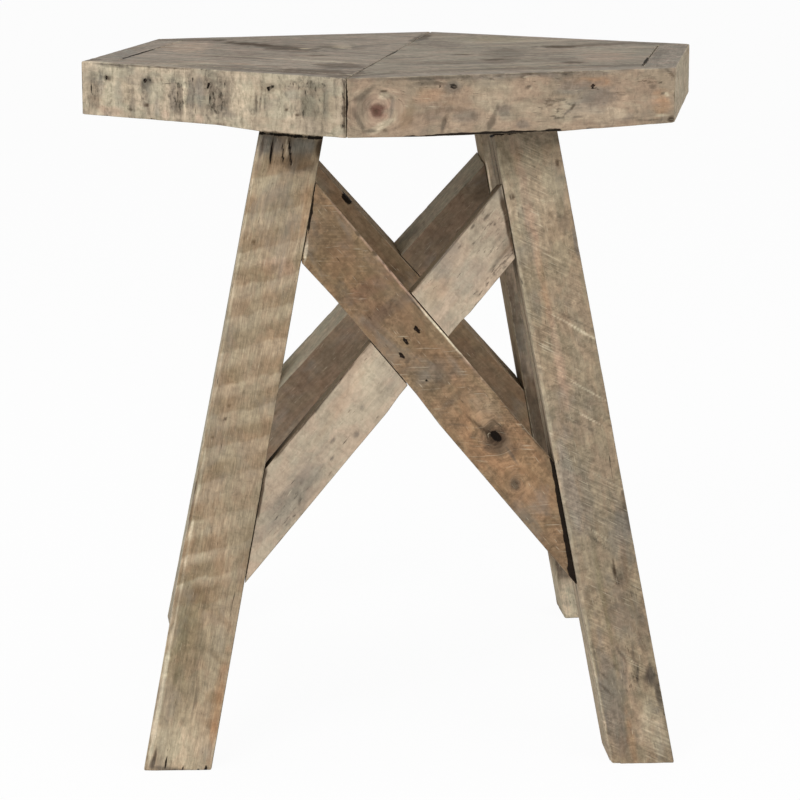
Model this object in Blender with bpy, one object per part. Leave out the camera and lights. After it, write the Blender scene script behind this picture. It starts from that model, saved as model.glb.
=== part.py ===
"""Plant table: a hexagonal top of mitred boards on two leaning trestles with half-lapped X braces.

Metres, +Z up, floor at zero, origin under the middle of the top. The front is towards -Y.
"""

from math import atan2, cos, pi, radians, sin, tan

import bmesh
import bpy
from mathutils import Matrix, Vector

# Clearances and cutting
FIT = 0.0003
OVERRUN = 0.01
WELD = 0.000001

# The top
TABLE_HEIGHT = 0.508
CORNER_RADIUS = 0.254
TOP_TURN = radians(10.76)
BACK_CORNER_SLIP = 0.0086
BORDER_HEIGHT = 0.0395
BORDER_THICKNESS = 0.0245
CORE_THICKNESS = 0.022
TOP_ARRIS = 0.0008

# The rails under the core
RAIL_THICKNESS = 0.0222
RAIL_WIDTH = 0.052
RAIL_END_GAP = 0.0044
RAIL_ARRIS = 0.0008
SHORTEST_EDGE = 0.004

# The trestles
LEG_WIDTH = 0.0464
LEG_DEPTH = 0.047
LEG_ARRIS = 0.0018
TRESTLE_LEAN = radians(6.9)
LEG_TOP_INSET = 0.0905
FRONT_SPLAY = radians(10.5)
REAR_SPLAY = radians(11.1)
REAR_TRESTLE_TURN = radians(4.2)

# The braces
FALLING_BRACE_WIDTH = 0.0445
RISING_BRACE_WIDTH = 0.0412
BRACE_THICKNESS = 0.0445
BRACE_ARRIS = 0.0012
FRONT_BRACE_TOP_DROP = 0.0655
FRONT_BRACE_BOTTOM_DROP = 0.2869
REAR_BRACE_TOP_DROP = 0.0765
REAR_BRACE_BOTTOM_DROP = 0.2936

# Countersunk wood screws
SCREW_SIDES = 10
SCREW_HEAD_RADIUS = 0.0044
SCREW_HEAD_HEIGHT = 0.0024
SCREW_SHANK_RADIUS = 0.002
SCREW_TIP = 0.005
SCREW_SINK = 0.0008
BRACE_SCREW_LENGTH = 0.064
LEG_SCREW_LENGTH = 0.07
CORE_SCREW_LENGTH = 0.038

# Flat-headed nails
NAIL_SIDES = 8
NAIL_HEAD_RADIUS = 0.0021
NAIL_HEAD_HEIGHT = 0.001
NAIL_SHANK_RADIUS = 0.0012
NAIL_TIP = 0.003
NAIL_SINK = 0.0012
BORDER_NAIL_LENGTH = 0.04
MITRE_NAIL_LENGTH = 0.03
LAP_NAIL_LENGTH = 0.036

# Places of the fasteners
BORDER_NAIL_SHARES = {
    "front_right": (0.099, 0.312, 0.541, 0.741),
    "right": (0.2, 0.78),
    "back_right": (0.18, 0.8),
    "back_left": (0.2, 0.82),
    "left": (0.22, 0.8),
    "front_left": (0.101, 0.254, 0.499, 0.722),
}
CORE_SCREW_SHARES = (-0.75, 0.05, 0.75)
MITRE_NAIL_FROM_CORNER = 0.0066
MITRE_NAIL_DROP = 0.0185
LAP_NAIL_PLACES = ((0.0044, 0.0075), (-0.0029, -0.0011), (-0.0059, -0.012))

RAIL_BOTTOM = TABLE_HEIGHT - CORE_THICKNESS - FIT - RAIL_THICKNESS
LEG_TOP = RAIL_BOTTOM - FIT


def linear(red, green, blue):
    """Turns a colour as a screen shows it, 0 to 255, into the linear values that a shader takes."""
    return tuple(((value / 255 + 0.055) / 1.055) ** 2.4 for value in (red, green, blue)) + (1,)


GREY_TOP_WOOD = (linear(140, 128, 116), 0.85, 0)
PALE_BORDER_WOOD = (linear(178, 160, 130), 0.85, 0)
KNOTTY_BORDER_WOOD = (linear(165, 142, 112), 0.85, 0)
RAIL_WOOD = (linear(118, 98, 76), 0.9, 0)
LEG_WOOD = (linear(166, 144, 116), 0.85, 0)
BROWN_BRACE_WOOD = (linear(140, 114, 86), 0.85, 0)
LIGHT_BRACE_WOOD = (linear(190, 168, 144), 0.85, 0)
SCREW_STEEL = (linear(120, 116, 108), 0.45, 1)
RUSTED_IRON = (linear(66, 50, 40), 0.8, 0.6)


def start_empty():
    for old in list(bpy.data.objects):
        bpy.data.objects.remove(old)


def finish(name, look):
    """A material with the given colour, roughness and metallic value."""
    colour, roughness, metallic = look
    material = bpy.data.materials.new(name)
    material.use_nodes = True
    shader = material.node_tree.nodes["Principled BSDF"]
    shader.inputs["Base Color"].default_value = colour
    shader.inputs["Roughness"].default_value = roughness
    shader.inputs["Metallic"].default_value = metallic
    return material


def add_piece(name, bm, look, place=None):
    """Closes a bmesh into a named object with its own material."""
    bmesh.ops.recalc_face_normals(bm, faces=bm.faces)
    mesh = bpy.data.meshes.new(name)
    bm.to_mesh(mesh)
    bm.free()
    piece = bpy.data.objects.new(name, mesh)
    bpy.context.scene.collection.objects.link(piece)
    if place is not None:
        piece.matrix_world = place
    if look is not None:
        mesh.materials.append(finish(name, look))
    return piece


def cut_away(piece, cutter):
    """Takes the cutter's shape out of the piece."""
    cutter.hide_render = True
    cutter.display_type = "WIRE"
    cut = piece.modifiers.new("cut", "BOOLEAN")
    cut.operation = "DIFFERENCE"
    cut.solver = "EXACT"
    cut.object = cutter


# Shapes in plan


def meet(point, along, other, other_along):
    """Where two lines in a plane cross, each given by a point and a direction."""
    step = (other - point).cross(other_along) / along.cross(other_along)
    return point + step * along


def top_corners():
    """The six outer corners, from the front one anticlockwise; the back one is slipped to the left."""
    corners = []
    for index in range(6):
        angle = index * pi / 3 - TOP_TURN
        corners.append(Vector((CORNER_RADIUS * sin(angle), -CORNER_RADIUS * cos(angle))))
    corners[3].x -= BACK_CORNER_SLIP
    return corners


def inset(corners, distance):
    """The same outline with every side moved inwards."""
    count = len(corners)
    sides = []
    for index, corner in enumerate(corners):
        along = (corners[(index + 1) % count] - corner).normalized()
        inward = Vector((-along.y, along.x))
        sides.append((corner + distance * inward, along))
    return [meet(*sides[index - 1], *sides[index]) for index in range(count)]


def trim(outline, point, along, gap):
    """Keeps what lies to the left of a line, and a gap back from it."""
    left = Vector((-along.y, along.x)).normalized()
    kept = []
    for index, corner in enumerate(outline):
        before = outline[index - 1]
        height = (corner - point).dot(left) - gap
        height_before = (before - point).dot(left) - gap
        if height * height_before < 0:
            kept.append(before + (corner - before) * (height_before / (height_before - height)))
        if height >= 0:
            kept.append(corner)
    return kept


def board(name, outline, bottom, top, arris, look):
    """A flat board: an outline in plan between two heights, its arrises broken."""
    bm = bmesh.new()
    face = bm.faces.new([bm.verts.new((corner.x, corner.y, bottom)) for corner in outline])
    grown = bmesh.ops.extrude_face_region(bm, geom=[face])
    lifted = [item for item in grown["geom"] if isinstance(item, bmesh.types.BMVert)]
    bmesh.ops.translate(bm, verts=lifted, vec=(0, 0, top - bottom))
    break_arrises(bm, arris)
    return add_piece(name, bm, look)


def break_arrises(bm, arris):
    bmesh.ops.recalc_face_normals(bm, faces=bm.faces)
    bmesh.ops.bevel(
        bm, geom=bm.edges, offset=arris, segments=1, profile=0.5, affect="EDGES", material=-1
    )


def hexahedron(corners):
    """A closed block from four corners of one end and the four that they join at the other end."""
    bm = bmesh.new()
    near = [bm.verts.new(corner) for corner in corners[:4]]
    far = [bm.verts.new(corner) for corner in corners[4:]]
    bm.faces.new(near)
    bm.faces.new(far)
    for index in range(4):
        bm.faces.new((near[index - 1], near[index], far[index], far[index - 1]))
    bmesh.ops.recalc_face_normals(bm, faces=bm.faces)
    return bm


# Fasteners


def screw_outline(length, grow):
    """Half section of a countersunk screw, head up; grow widens it into the hole that it sits in."""
    slant = grow * tan(pi / 8)
    rim = OVERRUN if grow else 0
    return [
        (0, rim),
        (SCREW_HEAD_RADIUS + grow, rim),
        (SCREW_HEAD_RADIUS + grow, -slant),
        (SCREW_SHANK_RADIUS + grow, -SCREW_HEAD_HEIGHT - slant),
        (SCREW_SHANK_RADIUS + grow, SCREW_TIP - length),
        (0, -length - grow),
    ]


def nail_outline(length, grow):
    """Half section of a flat-headed nail, head up; grow widens it into the hole that it sits in."""
    rim = OVERRUN if grow else 0
    under_head = -NAIL_HEAD_HEIGHT - grow
    return [
        (0, rim),
        (NAIL_HEAD_RADIUS + grow, rim),
        (NAIL_HEAD_RADIUS + grow, under_head),
        (NAIL_SHANK_RADIUS + grow, under_head),
        (NAIL_SHANK_RADIUS + grow, NAIL_TIP - length),
        (0, -length - grow),
    ]


def turned(outline, sides):
    """A solid of revolution round the Z axis from half of its section."""
    bm = bmesh.new()
    points = [bm.verts.new((radius, 0, height)) for radius, height in outline]
    edges = [bm.edges.new(pair) for pair in zip(points, points[1:]) if pair[0].co != pair[1].co]
    bmesh.ops.spin(
        bm, geom=points + edges, axis=(0, 0, 1), cent=(0, 0, 0), angle=2 * pi, steps=sides, use_merge=True
    )
    bmesh.ops.remove_doubles(bm, verts=bm.verts, dist=WELD)
    return bm


def drive(name, outline, sides, look, surface, direction, sink, length, pieces):
    """Drives a screw or nail into the pieces, from a point on the surface, and bores its hole in each."""
    direction = direction.normalized()
    facing = (-direction).to_track_quat("Z", "Y").to_matrix().to_4x4()
    place = Matrix.Translation(surface + sink * direction) @ facing
    fastener = add_piece(name, turned(outline(length, 0), sides), look, place)
    for index, piece in enumerate(pieces):
        cutter = add_piece(f"{name}_hole_{index}", turned(outline(length, FIT), sides), None, place)
        cut_away(piece, cutter)
    return fastener


def drive_screw(name, surface, direction, length, pieces):
    return drive(
        name, screw_outline, SCREW_SIDES, SCREW_STEEL, surface, direction, SCREW_SINK, length, pieces
    )


def drive_nail(name, surface, direction, length, pieces):
    return drive(
        name, nail_outline, NAIL_SIDES, RUSTED_IRON, surface, direction, NAIL_SINK, length, pieces
    )


# The trestles


def leg_top_half_spread(corners):
    """Half the spread of the leg tops, which lets the front rail just pass the front left border board."""
    inner = inset(corners, BORDER_THICKNESS)
    rail_overhang = (RAIL_WIDTH - LEG_DEPTH / cos(TRESTLE_LEAN)) / 2
    rail_edge = Vector((0, corners[0].y + LEG_TOP_INSET - rail_overhang))
    return -meet(rail_edge, Vector((1, 0)), inner[5], inner[0] - inner[5]).x - RAIL_END_GAP


class Trestle:
    """Two splayed legs and their X, laid out as on the bench.

    u runs across from the middle, v up the slope of the outer face from the floor, and w from the
    outer face towards the middle of the table.
    """

    def __init__(self, name, inward, turn, splay, brace_top_drop, brace_bottom_drop, corners):
        """Sets out a trestle; inward is 1 where the middle of the table lies towards +Y, or else -1."""
        self.name = name
        self.inward = inward
        self.turn = turn
        self.splay = splay
        self.slope = RAIL_BOTTOM / cos(TRESTLE_LEAN)
        self.top_half_spread = leg_top_half_spread(corners)
        self.foot_reach = -corners[0].y - LEG_TOP_INSET + self.slope * sin(TRESTLE_LEAN)
        top_end = Vector((-self.inner(self.slope - brace_top_drop), self.slope - brace_top_drop))
        bottom_end = Vector((self.inner(self.slope - brace_bottom_drop), self.slope - brace_bottom_drop))
        axis = bottom_end - top_end
        self.pitch = atan2(-axis.y, axis.x)
        self.crossing = top_end.y + top_end.x * tan(self.pitch)

    def place(self, u, v, w):
        """The point of the room where a point of the bench drawing lies."""
        depth = v * sin(TRESTLE_LEAN) + w * cos(TRESTLE_LEAN)
        height = v * cos(TRESTLE_LEAN) - w * sin(TRESTLE_LEAN)
        across = u * cos(self.turn) - self.inward * depth * sin(self.turn)
        along = u * sin(self.turn) + self.inward * depth * cos(self.turn)
        return Vector((across, along - self.inward * self.foot_reach, height))

    def at_height(self, u_of_v, w, height):
        """The point at a height on a leg's long arris, which u_of_v gives across the slope."""
        v = (height + w * sin(TRESTLE_LEAN)) / cos(TRESTLE_LEAN)
        return self.place(u_of_v(v), v, w)

    def outer(self, v):
        """Half the spread of the legs' outer sides at v."""
        return self.top_half_spread + (self.slope - v) * tan(self.splay)

    def inner(self, v):
        """Half the spread of the legs' inner sides at v."""
        return self.outer(v) - LEG_WIDTH / cos(self.splay)

    def leg(self, side_name, side):
        """A square post, cut level at the floor and under the rail."""
        arrises = [
            (lambda v: side * self.outer(v), 0),
            (lambda v: side * self.inner(v), 0),
            (lambda v: side * self.inner(v), LEG_DEPTH),
            (lambda v: side * self.outer(v), LEG_DEPTH),
        ]
        foot = [self.at_height(u_of_v, w, 0) for u_of_v, w in arrises]
        head = [self.at_height(u_of_v, w, LEG_TOP) for u_of_v, w in arrises]
        bm = hexahedron(foot + head)
        break_arrises(bm, LEG_ARRIS)
        return add_piece(f"leg_{self.name}_{side_name}", bm, LEG_WOOD)

    def side_line(self, side, gap):
        """A leg's inner side, moved into the trestle by a gap, as a point and a direction in u and v."""
        foot = Vector((side * (self.inner(0) - gap / cos(self.splay)), 0))
        return foot, Vector((-side * sin(self.splay), cos(self.splay)))

    def brace_outline(self, fall, width, gap):
        """A brace's long sides, cut off along the legs; fall is 1 for falling to the right, -1 for rising."""
        along = Vector((cos(self.pitch), -fall * sin(self.pitch)))
        across = Vector((-along.y, along.x)) * width / 2
        crossing = Vector((0, self.crossing))
        left = self.side_line(-1, gap)
        right = self.side_line(1, gap)
        return [
            meet(crossing + across, along, *left),
            meet(crossing + across, along, *right),
            meet(crossing - across, along, *right),
            meet(crossing - across, along, *left),
        ]

    def block(self, outline, near, far):
        """A block with an outline in u and v, between two depths."""
        return hexahedron([self.place(*corner, near) for corner in outline] +
                          [self.place(*corner, far) for corner in outline])

    def brace(self, name, fall, width, look):
        near = (LEG_DEPTH - BRACE_THICKNESS) / 2
        bm = self.block(self.brace_outline(fall, width, FIT), near, near + BRACE_THICKNESS)
        break_arrises(bm, BRACE_ARRIS)
        return add_piece(f"brace_{self.name}_{name}", bm, look)

    def lap(self, brace, other_fall, other_width, keeps_outer_half):
        """Halves a brace at the crossing, so that the other one passes through it."""
        outline = self.brace_outline(other_fall, other_width + 2 * FIT, -OVERRUN)
        if keeps_outer_half:
            near, far = (LEG_DEPTH - FIT) / 2, LEG_DEPTH + OVERRUN
        else:
            near, far = -OVERRUN, (LEG_DEPTH + FIT) / 2
        cutter = add_piece(f"{brace.name}_lap", self.block(outline, near, far), None)
        cut_away(brace, cutter)

    def screw_brace(self, name, brace, leg, fall, side):
        """Screws a brace's end on through the leg, so that the screw's grip is centred in the brace."""
        grip = BRACE_SCREW_LENGTH + SCREW_SINK - LEG_WIDTH - FIT
        axis = Vector((cos(self.pitch), -fall * sin(self.pitch)))
        middle = meet(Vector((0, self.crossing)), axis, *self.side_line(side, grip / 2))
        outward = Vector((side * cos(self.splay), sin(self.splay)))
        start = middle + outward * (grip / 2 + FIT + LEG_WIDTH)
        depth = LEG_DEPTH / 2
        surface = self.place(*start, depth)
        direction = self.place(*middle, depth) - surface
        return drive_screw(name, surface, direction, BRACE_SCREW_LENGTH, (leg, brace))

    def nail_lap(self, braces):
        """Nails the crossing from outside, the same way round on both trestles."""
        set_back = (LEG_DEPTH - BRACE_THICKNESS) / 2
        for number, (across, up) in enumerate(LAP_NAIL_PLACES, 1):
            spot = (self.inward * across, self.crossing + up)
            surface = self.place(*spot, set_back)
            direction = self.place(*spot, LEG_DEPTH) - surface
            drive_nail(f"lap_nail_{self.name}_{number}", surface, direction, LAP_NAIL_LENGTH, braces)

    def across_in_plan(self):
        """The level direction across the trestle, from left to right."""
        return Vector((cos(self.turn), sin(self.turn)))

    def on_leg_top(self, u):
        """The point in plan at u across the trestle and halfway through the legs' level tops."""
        halfway = LEG_DEPTH / cos(TRESTLE_LEAN) / 2
        inward = Vector((-sin(self.turn), cos(self.turn))) * self.inward
        return self.place(u, self.slope, 0).xy + inward * halfway



def build_trestle(trestle, falling_keeps_outer_half):
    """Makes the legs, the braces and what holds them to each other."""
    legs = {side: trestle.leg(name, side) for name, side in (("left", -1), ("right", 1))}
    falling = trestle.brace("falling", 1, FALLING_BRACE_WIDTH, BROWN_BRACE_WOOD)
    rising = trestle.brace("rising", -1, RISING_BRACE_WIDTH, LIGHT_BRACE_WOOD)
    trestle.lap(falling, -1, RISING_BRACE_WIDTH, falling_keeps_outer_half)
    trestle.lap(rising, 1, FALLING_BRACE_WIDTH, not falling_keeps_outer_half)
    for brace, fall, kind in ((falling, 1, "falling"), (rising, -1, "rising")):
        for side, side_name in ((-1, "left"), (1, "right")):
            name = f"brace_screw_{trestle.name}_{kind}_{side_name}"
            trestle.screw_brace(name, brace, legs[side], fall, side)
    trestle.nail_lap((falling, rising))
    return legs


# The top


def build_border(corners):
    """Six boards on edge, mitred at the corners."""
    inner = inset(corners, BORDER_THICKNESS)
    bottom = TABLE_HEIGHT - BORDER_HEIGHT
    borders = {}
    for index, name in enumerate(BORDER_NAIL_SHARES):
        after = (index + 1) % 6
        outline = [corners[index], corners[after], inner[after], inner[index]]
        outline = trim(outline, corners[index], corners[index] - inner[index], FIT / 2)
        outline = trim(outline, corners[after], inner[after] - corners[after], FIT / 2)
        look = KNOTTY_BORDER_WOOD if name == "front_right" else PALE_BORDER_WOOD
        borders[name] = board(f"border_{name}", outline, bottom, TABLE_HEIGHT, TOP_ARRIS, look)
    return borders


def seam_line(corners):
    """The seam between the core boards, from the front corner to the back one."""
    inner = inset(corners, BORDER_THICKNESS + FIT)
    return inner[0], inner[3] - inner[0]


def build_core(corners):
    """Two boards inside the border that meet along the seam."""
    start, seam = seam_line(corners)
    bottom = TABLE_HEIGHT - CORE_THICKNESS
    halves = {}
    for name, along in (("left", seam), ("right", -seam)):
        outline = trim(inset(corners, BORDER_THICKNESS + FIT), start, along, FIT / 2)
        halves[name] = board(f"core_board_{name}", outline, bottom, TABLE_HEIGHT, TOP_ARRIS, GREY_TOP_WOOD)
    return halves


def boards_met(halves, seam, spots, radius):
    """The core boards that a shank of a radius runs into between the given spots in plan."""
    start, along = seam
    left = Vector((-along.y, along.x)).normalized()
    reaches = [(spot - start).dot(left) for spot in spots]
    met = []
    if max(reaches) > -radius - FIT / 2:
        met.append(halves["left"])
    if min(reaches) < radius + FIT / 2:
        met.append(halves["right"])
    return met


def build_rail(trestle, corners):
    """A flat rail over a pair of legs, as long as their tops spread, with any corner cut off at the border."""
    across = trestle.across_in_plan()
    inward = Vector((-across.y, across.x))
    half_length = trestle.outer(trestle.slope)
    middle = trestle.on_leg_top(0)
    outline = inset(corners, BORDER_THICKNESS + FIT)
    outline = trim(outline, middle - inward * RAIL_WIDTH / 2, across, 0)
    outline = trim(outline, middle + across * half_length, inward, 0)
    outline = trim(outline, middle + inward * RAIL_WIDTH / 2, -across, 0)
    outline = trim(outline, middle - across * half_length, -inward, 0)
    outline = [c for index, c in enumerate(outline) if (c - outline[index - 1]).length > SHORTEST_EDGE]
    top = RAIL_BOTTOM + RAIL_THICKNESS
    return board(f"rail_{trestle.name}", outline, RAIL_BOTTOM, top, RAIL_ARRIS, RAIL_WOOD)


def nail_border(corners, borders, halves):
    """Nails each border board to the edge of the core board behind it."""
    height = TABLE_HEIGHT - CORE_THICKNESS / 2
    for index, (name, shares) in enumerate(BORDER_NAIL_SHARES.items()):
        side = corners[(index + 1) % 6] - corners[index]
        inward = Vector((-side.y, side.x)).normalized()
        for number, share in enumerate(shares, 1):
            spot = corners[index] + share * side
            spots = (spot + inward * BORDER_THICKNESS, spot + inward * (BORDER_NAIL_LENGTH + NAIL_SINK))
            met = boards_met(halves, seam_line(corners), spots, NAIL_SHANK_RADIUS)
            surface = spot.to_3d()
            surface.z = height
            nail = f"border_nail_{name}_{number}"
            drive_nail(nail, surface, inward.to_3d(), BORDER_NAIL_LENGTH, (borders[name], *met))


def nail_mitre(corners, border, next_border):
    """Nails the right end of the front right board to the end of the board round the corner."""
    side = (corners[1] - corners[0]).normalized()
    surface = (corners[1] - MITRE_NAIL_FROM_CORNER * side).to_3d()
    surface.z = TABLE_HEIGHT - MITRE_NAIL_DROP
    inward = Vector((-side.y, side.x, 0))
    drive_nail("mitre_nail", surface, inward, MITRE_NAIL_LENGTH, (border, next_border))


def screw_legs(trestle, rail, legs):
    """One screw down through the rail into the middle of each leg."""
    for side_name, side in (("left", -1), ("right", 1)):
        u = side * (trestle.outer(trestle.slope) + trestle.inner(trestle.slope)) / 2
        surface = trestle.on_leg_top(u).to_3d()
        surface.z = RAIL_BOTTOM + RAIL_THICKNESS
        name = f"leg_screw_{trestle.name}_{side_name}"
        drive_screw(name, surface, Vector((0, 0, -1)), LEG_SCREW_LENGTH, (rail, legs[side]))


def screw_core(trestle, rail, seam, halves):
    """Three screws up through the rail, into the core board over each."""
    for number, share in enumerate(CORE_SCREW_SHARES, 1):
        spot = trestle.on_leg_top(trestle.inward * share * trestle.inner(trestle.slope))
        surface = spot.to_3d()
        surface.z = RAIL_BOTTOM
        name = f"core_screw_{trestle.name}_{number}"
        met = boards_met(halves, seam, (spot,), SCREW_SHANK_RADIUS)
        drive_screw(name, surface, Vector((0, 0, 1)), CORE_SCREW_LENGTH, (rail, *met))


def build_table():
    start_empty()
    corners = top_corners()
    borders = build_border(corners)
    halves = build_core(corners)
    nail_border(corners, borders, halves)
    nail_mitre(corners, borders["front_right"], borders["right"])
    front = Trestle(
        "front", 1, 0, FRONT_SPLAY, FRONT_BRACE_TOP_DROP, FRONT_BRACE_BOTTOM_DROP, corners
    )
    rear = Trestle(
        "rear", -1, REAR_TRESTLE_TURN, REAR_SPLAY, REAR_BRACE_TOP_DROP, REAR_BRACE_BOTTOM_DROP, corners
    )
    for trestle, falling_keeps_outer_half in ((front, True), (rear, False)):
        legs = build_trestle(trestle, falling_keeps_outer_half)
        rail = build_rail(trestle, corners)
        screw_legs(trestle, rail, legs)
        screw_core(trestle, rail, seam_line(corners), halves)


build_table()
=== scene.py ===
"""Looks of the plant table: weathered pine boards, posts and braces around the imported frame.

Metres, +Z up, floor at zero, the front towards -Y. Marks on the wood are set out in millimetres on
the face of the board that carries them.
"""

from dataclasses import dataclass, field
from itertools import product
from math import atan2, cos, pi, radians, sin, tan

import bmesh
import bpy
import numpy as np
from mathutils import Matrix, Vector


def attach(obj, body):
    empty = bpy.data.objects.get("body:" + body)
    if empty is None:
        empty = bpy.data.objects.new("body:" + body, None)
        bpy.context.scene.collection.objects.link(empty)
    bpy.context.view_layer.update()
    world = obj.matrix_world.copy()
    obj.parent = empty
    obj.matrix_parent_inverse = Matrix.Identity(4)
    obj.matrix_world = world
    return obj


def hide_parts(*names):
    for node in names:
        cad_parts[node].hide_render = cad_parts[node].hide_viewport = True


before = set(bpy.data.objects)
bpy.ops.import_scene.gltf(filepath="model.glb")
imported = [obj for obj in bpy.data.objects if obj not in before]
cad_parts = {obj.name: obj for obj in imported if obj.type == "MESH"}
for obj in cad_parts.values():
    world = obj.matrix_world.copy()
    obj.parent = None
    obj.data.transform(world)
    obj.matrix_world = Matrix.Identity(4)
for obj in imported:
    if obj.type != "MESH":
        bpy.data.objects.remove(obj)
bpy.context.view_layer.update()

MM = 0.001
DOWN = Vector((0, 0, -1))

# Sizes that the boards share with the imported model
FIT = 0.0003
TABLE_HEIGHT = 0.508
CORNER_RADIUS = 0.254
TOP_TURN = radians(10.76)
BACK_CORNER_SLIP = 0.0086
BORDER_HEIGHT = 0.0395
BORDER_THICKNESS = 0.0245
CORE_THICKNESS = 0.022
RAIL_THICKNESS = 0.0222
RAIL_WIDTH = 0.052
RAIL_END_GAP = 0.0044
LEG_WIDTH = 0.0464
LEG_DEPTH = 0.047
TRESTLE_LEAN = radians(6.9)
LEG_TOP_INSET = 0.0905
FRONT_SPLAY = radians(10.5)
REAR_SPLAY = radians(11.1)
REAR_TRESTLE_TURN = radians(4.2)
LEG_LENGTH = 0.462
FALLING_BRACE_WIDTH = 0.0445
RISING_BRACE_WIDTH = 0.0412
BRACE_THICKNESS = 0.0445
FRONT_BRACE_DROPS = (0.0655, 0.2869)
REAR_BRACE_DROPS = (0.0765, 0.2936)
RAIL_BOTTOM = TABLE_HEIGHT - CORE_THICKNESS - FIT - RAIL_THICKNESS
LEG_TOP = RAIL_BOTTOM - FIT
BRACE_NEAR = (LEG_DEPTH - BRACE_THICKNESS) / 2


# The table's layout


def meet(point, along, other, other_along):
    """Where two lines in a plane cross, each given by a point and a direction."""
    step = (other - point).cross(other_along) / along.cross(other_along)
    return point + step * along


def top_corners():
    """The six outer corners, from the front one anticlockwise; the back one is slipped to the left."""
    angles = [index * pi / 3 - TOP_TURN for index in range(6)]
    corners = [Vector((CORNER_RADIUS * sin(angle), -CORNER_RADIUS * cos(angle))) for angle in angles]
    corners[3].x -= BACK_CORNER_SLIP
    return corners


def inset(corners, distance):
    """The same outline with every side moved inwards."""
    sides = []
    for index, corner in enumerate(corners):
        along = (corners[(index + 1) % 6] - corner).normalized()
        sides.append((corner + distance * Vector((-along.y, along.x)), along))
    return [meet(*sides[index - 1], *sides[index]) for index in range(6)]


class Trestle:
    """Two splayed legs and their X: u runs across, v up the slope and w in from the outer face."""

    def __init__(self, inward, turn, splay, brace_drops, corners):
        self.inward = inward
        self.turn = turn
        self.splay = splay
        self.slope = RAIL_BOTTOM / cos(TRESTLE_LEAN)
        inner = inset(corners, BORDER_THICKNESS)
        overhang = (RAIL_WIDTH - LEG_DEPTH / cos(TRESTLE_LEAN)) / 2
        rail_edge = Vector((0, corners[0].y + LEG_TOP_INSET - overhang))
        side = meet(rail_edge, Vector((1, 0)), inner[5], inner[0] - inner[5])
        self.top_half_spread = -side.x - RAIL_END_GAP
        self.foot_reach = -corners[0].y - LEG_TOP_INSET + self.slope * sin(TRESTLE_LEAN)
        top, bottom = (self.slope - drop for drop in brace_drops)
        self.pitch = atan2(top - bottom, self.inner(top) + self.inner(bottom))
        self.crossing = top - self.inner(top) * tan(self.pitch)

    def turned(self, u, v, w):
        """A direction of the bench drawing as one of the room."""
        depth = v * sin(TRESTLE_LEAN) + w * cos(TRESTLE_LEAN)
        height = v * cos(TRESTLE_LEAN) - w * sin(TRESTLE_LEAN)
        across = u * cos(self.turn) - self.inward * depth * sin(self.turn)
        return Vector((across, u * sin(self.turn) + self.inward * depth * cos(self.turn), height))

    def place(self, u, v, w):
        """A point of the bench drawing as one of the room."""
        return self.turned(u, v, w) - Vector((0, self.inward * self.foot_reach, 0))

    def across_leg(self, side):
        """Square across the leg at a side, to the right."""
        return self.turned(cos(self.splay), side * sin(self.splay), 0)

    def outer(self, v):
        return self.top_half_spread + (self.slope - v) * tan(self.splay)

    def inner(self, v):
        return self.outer(v) - LEG_WIDTH / cos(self.splay)


# Timbers


class Timber:
    """A piece of wood on its own axes: a along the grain, b across the shown face, c into the wood."""

    def __init__(self, origin, along, across, through, breadth, depth):
        self.origin = origin
        self.axes = (along.normalized(), across.normalized(), through.normalized())
        self.breadth = breadth
        self.depth = depth
        self.corners = None

    def at(self, a, b, c):
        return self.origin + a * self.axes[0] + b * self.axes[1] + c * self.axes[2]

    def cut(self, *planes):
        """Cuts the two ends off along planes, each a point and a normal."""
        self.corners = {}
        for end, (point, normal) in enumerate(planes):
            for j, k in product((0, 1), repeat=2):
                foot = self.at(0, self.breadth[j], self.depth[k])
                reach = (point - foot).dot(normal) / self.axes[0].dot(normal)
                self.corners[end, j, k] = foot + reach * self.axes[0]
        return self

    def filled(self, shares):
        """Room points for shares from 0 to 1 along, across and through the timber."""
        total = 0
        for key, corner in self.corners.items():
            weight = np.prod(np.where(key, shares, 1 - shares), axis=1)
            total = total + weight[:, None] * np.array(corner)
        return total

    def own(self, points):
        """Room points on the timber's own axes."""
        return (points - np.array(self.origin)) @ np.array(self.axes).T

    def sizes(self, shares):
        """The timber's length, breadth and depth through each share point."""
        measured = []
        for axis in range(3):
            low, high = shares.copy(), shares.copy()
            low[:, axis], high[:, axis] = 0, 1
            measured.append((self.own(self.filled(high)) - self.own(self.filled(low)))[:, axis])
        return np.stack(measured, axis=1)

    def shares_at(self, own, shares, sizes):
        """Shares of the points at given places on the timber's own axes, sought from nearby shares."""
        for _ in range(3):
            shares = shares + (own - self.own(self.filled(shares))) / sizes
        return np.clip(shares, 0, 1)


def leg_timber(trestle, side):
    """A leg's timber, from near its top end down; b runs to the right as the front sees it."""
    left = -trestle.outer(LEG_LENGTH) if side < 0 else trestle.inner(LEG_LENGTH)
    down = trestle.turned(side * sin(trestle.splay), -cos(trestle.splay), 0)
    start = trestle.place(left, LEG_LENGTH, 0)
    through = trestle.turned(0, 0, 1)
    timber = Timber(start, down, trestle.across_leg(side), through, (0, LEG_WIDTH), (0, LEG_DEPTH))
    return timber.cut((Vector((0, 0, LEG_TOP)), DOWN), (Vector(), DOWN))


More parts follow.
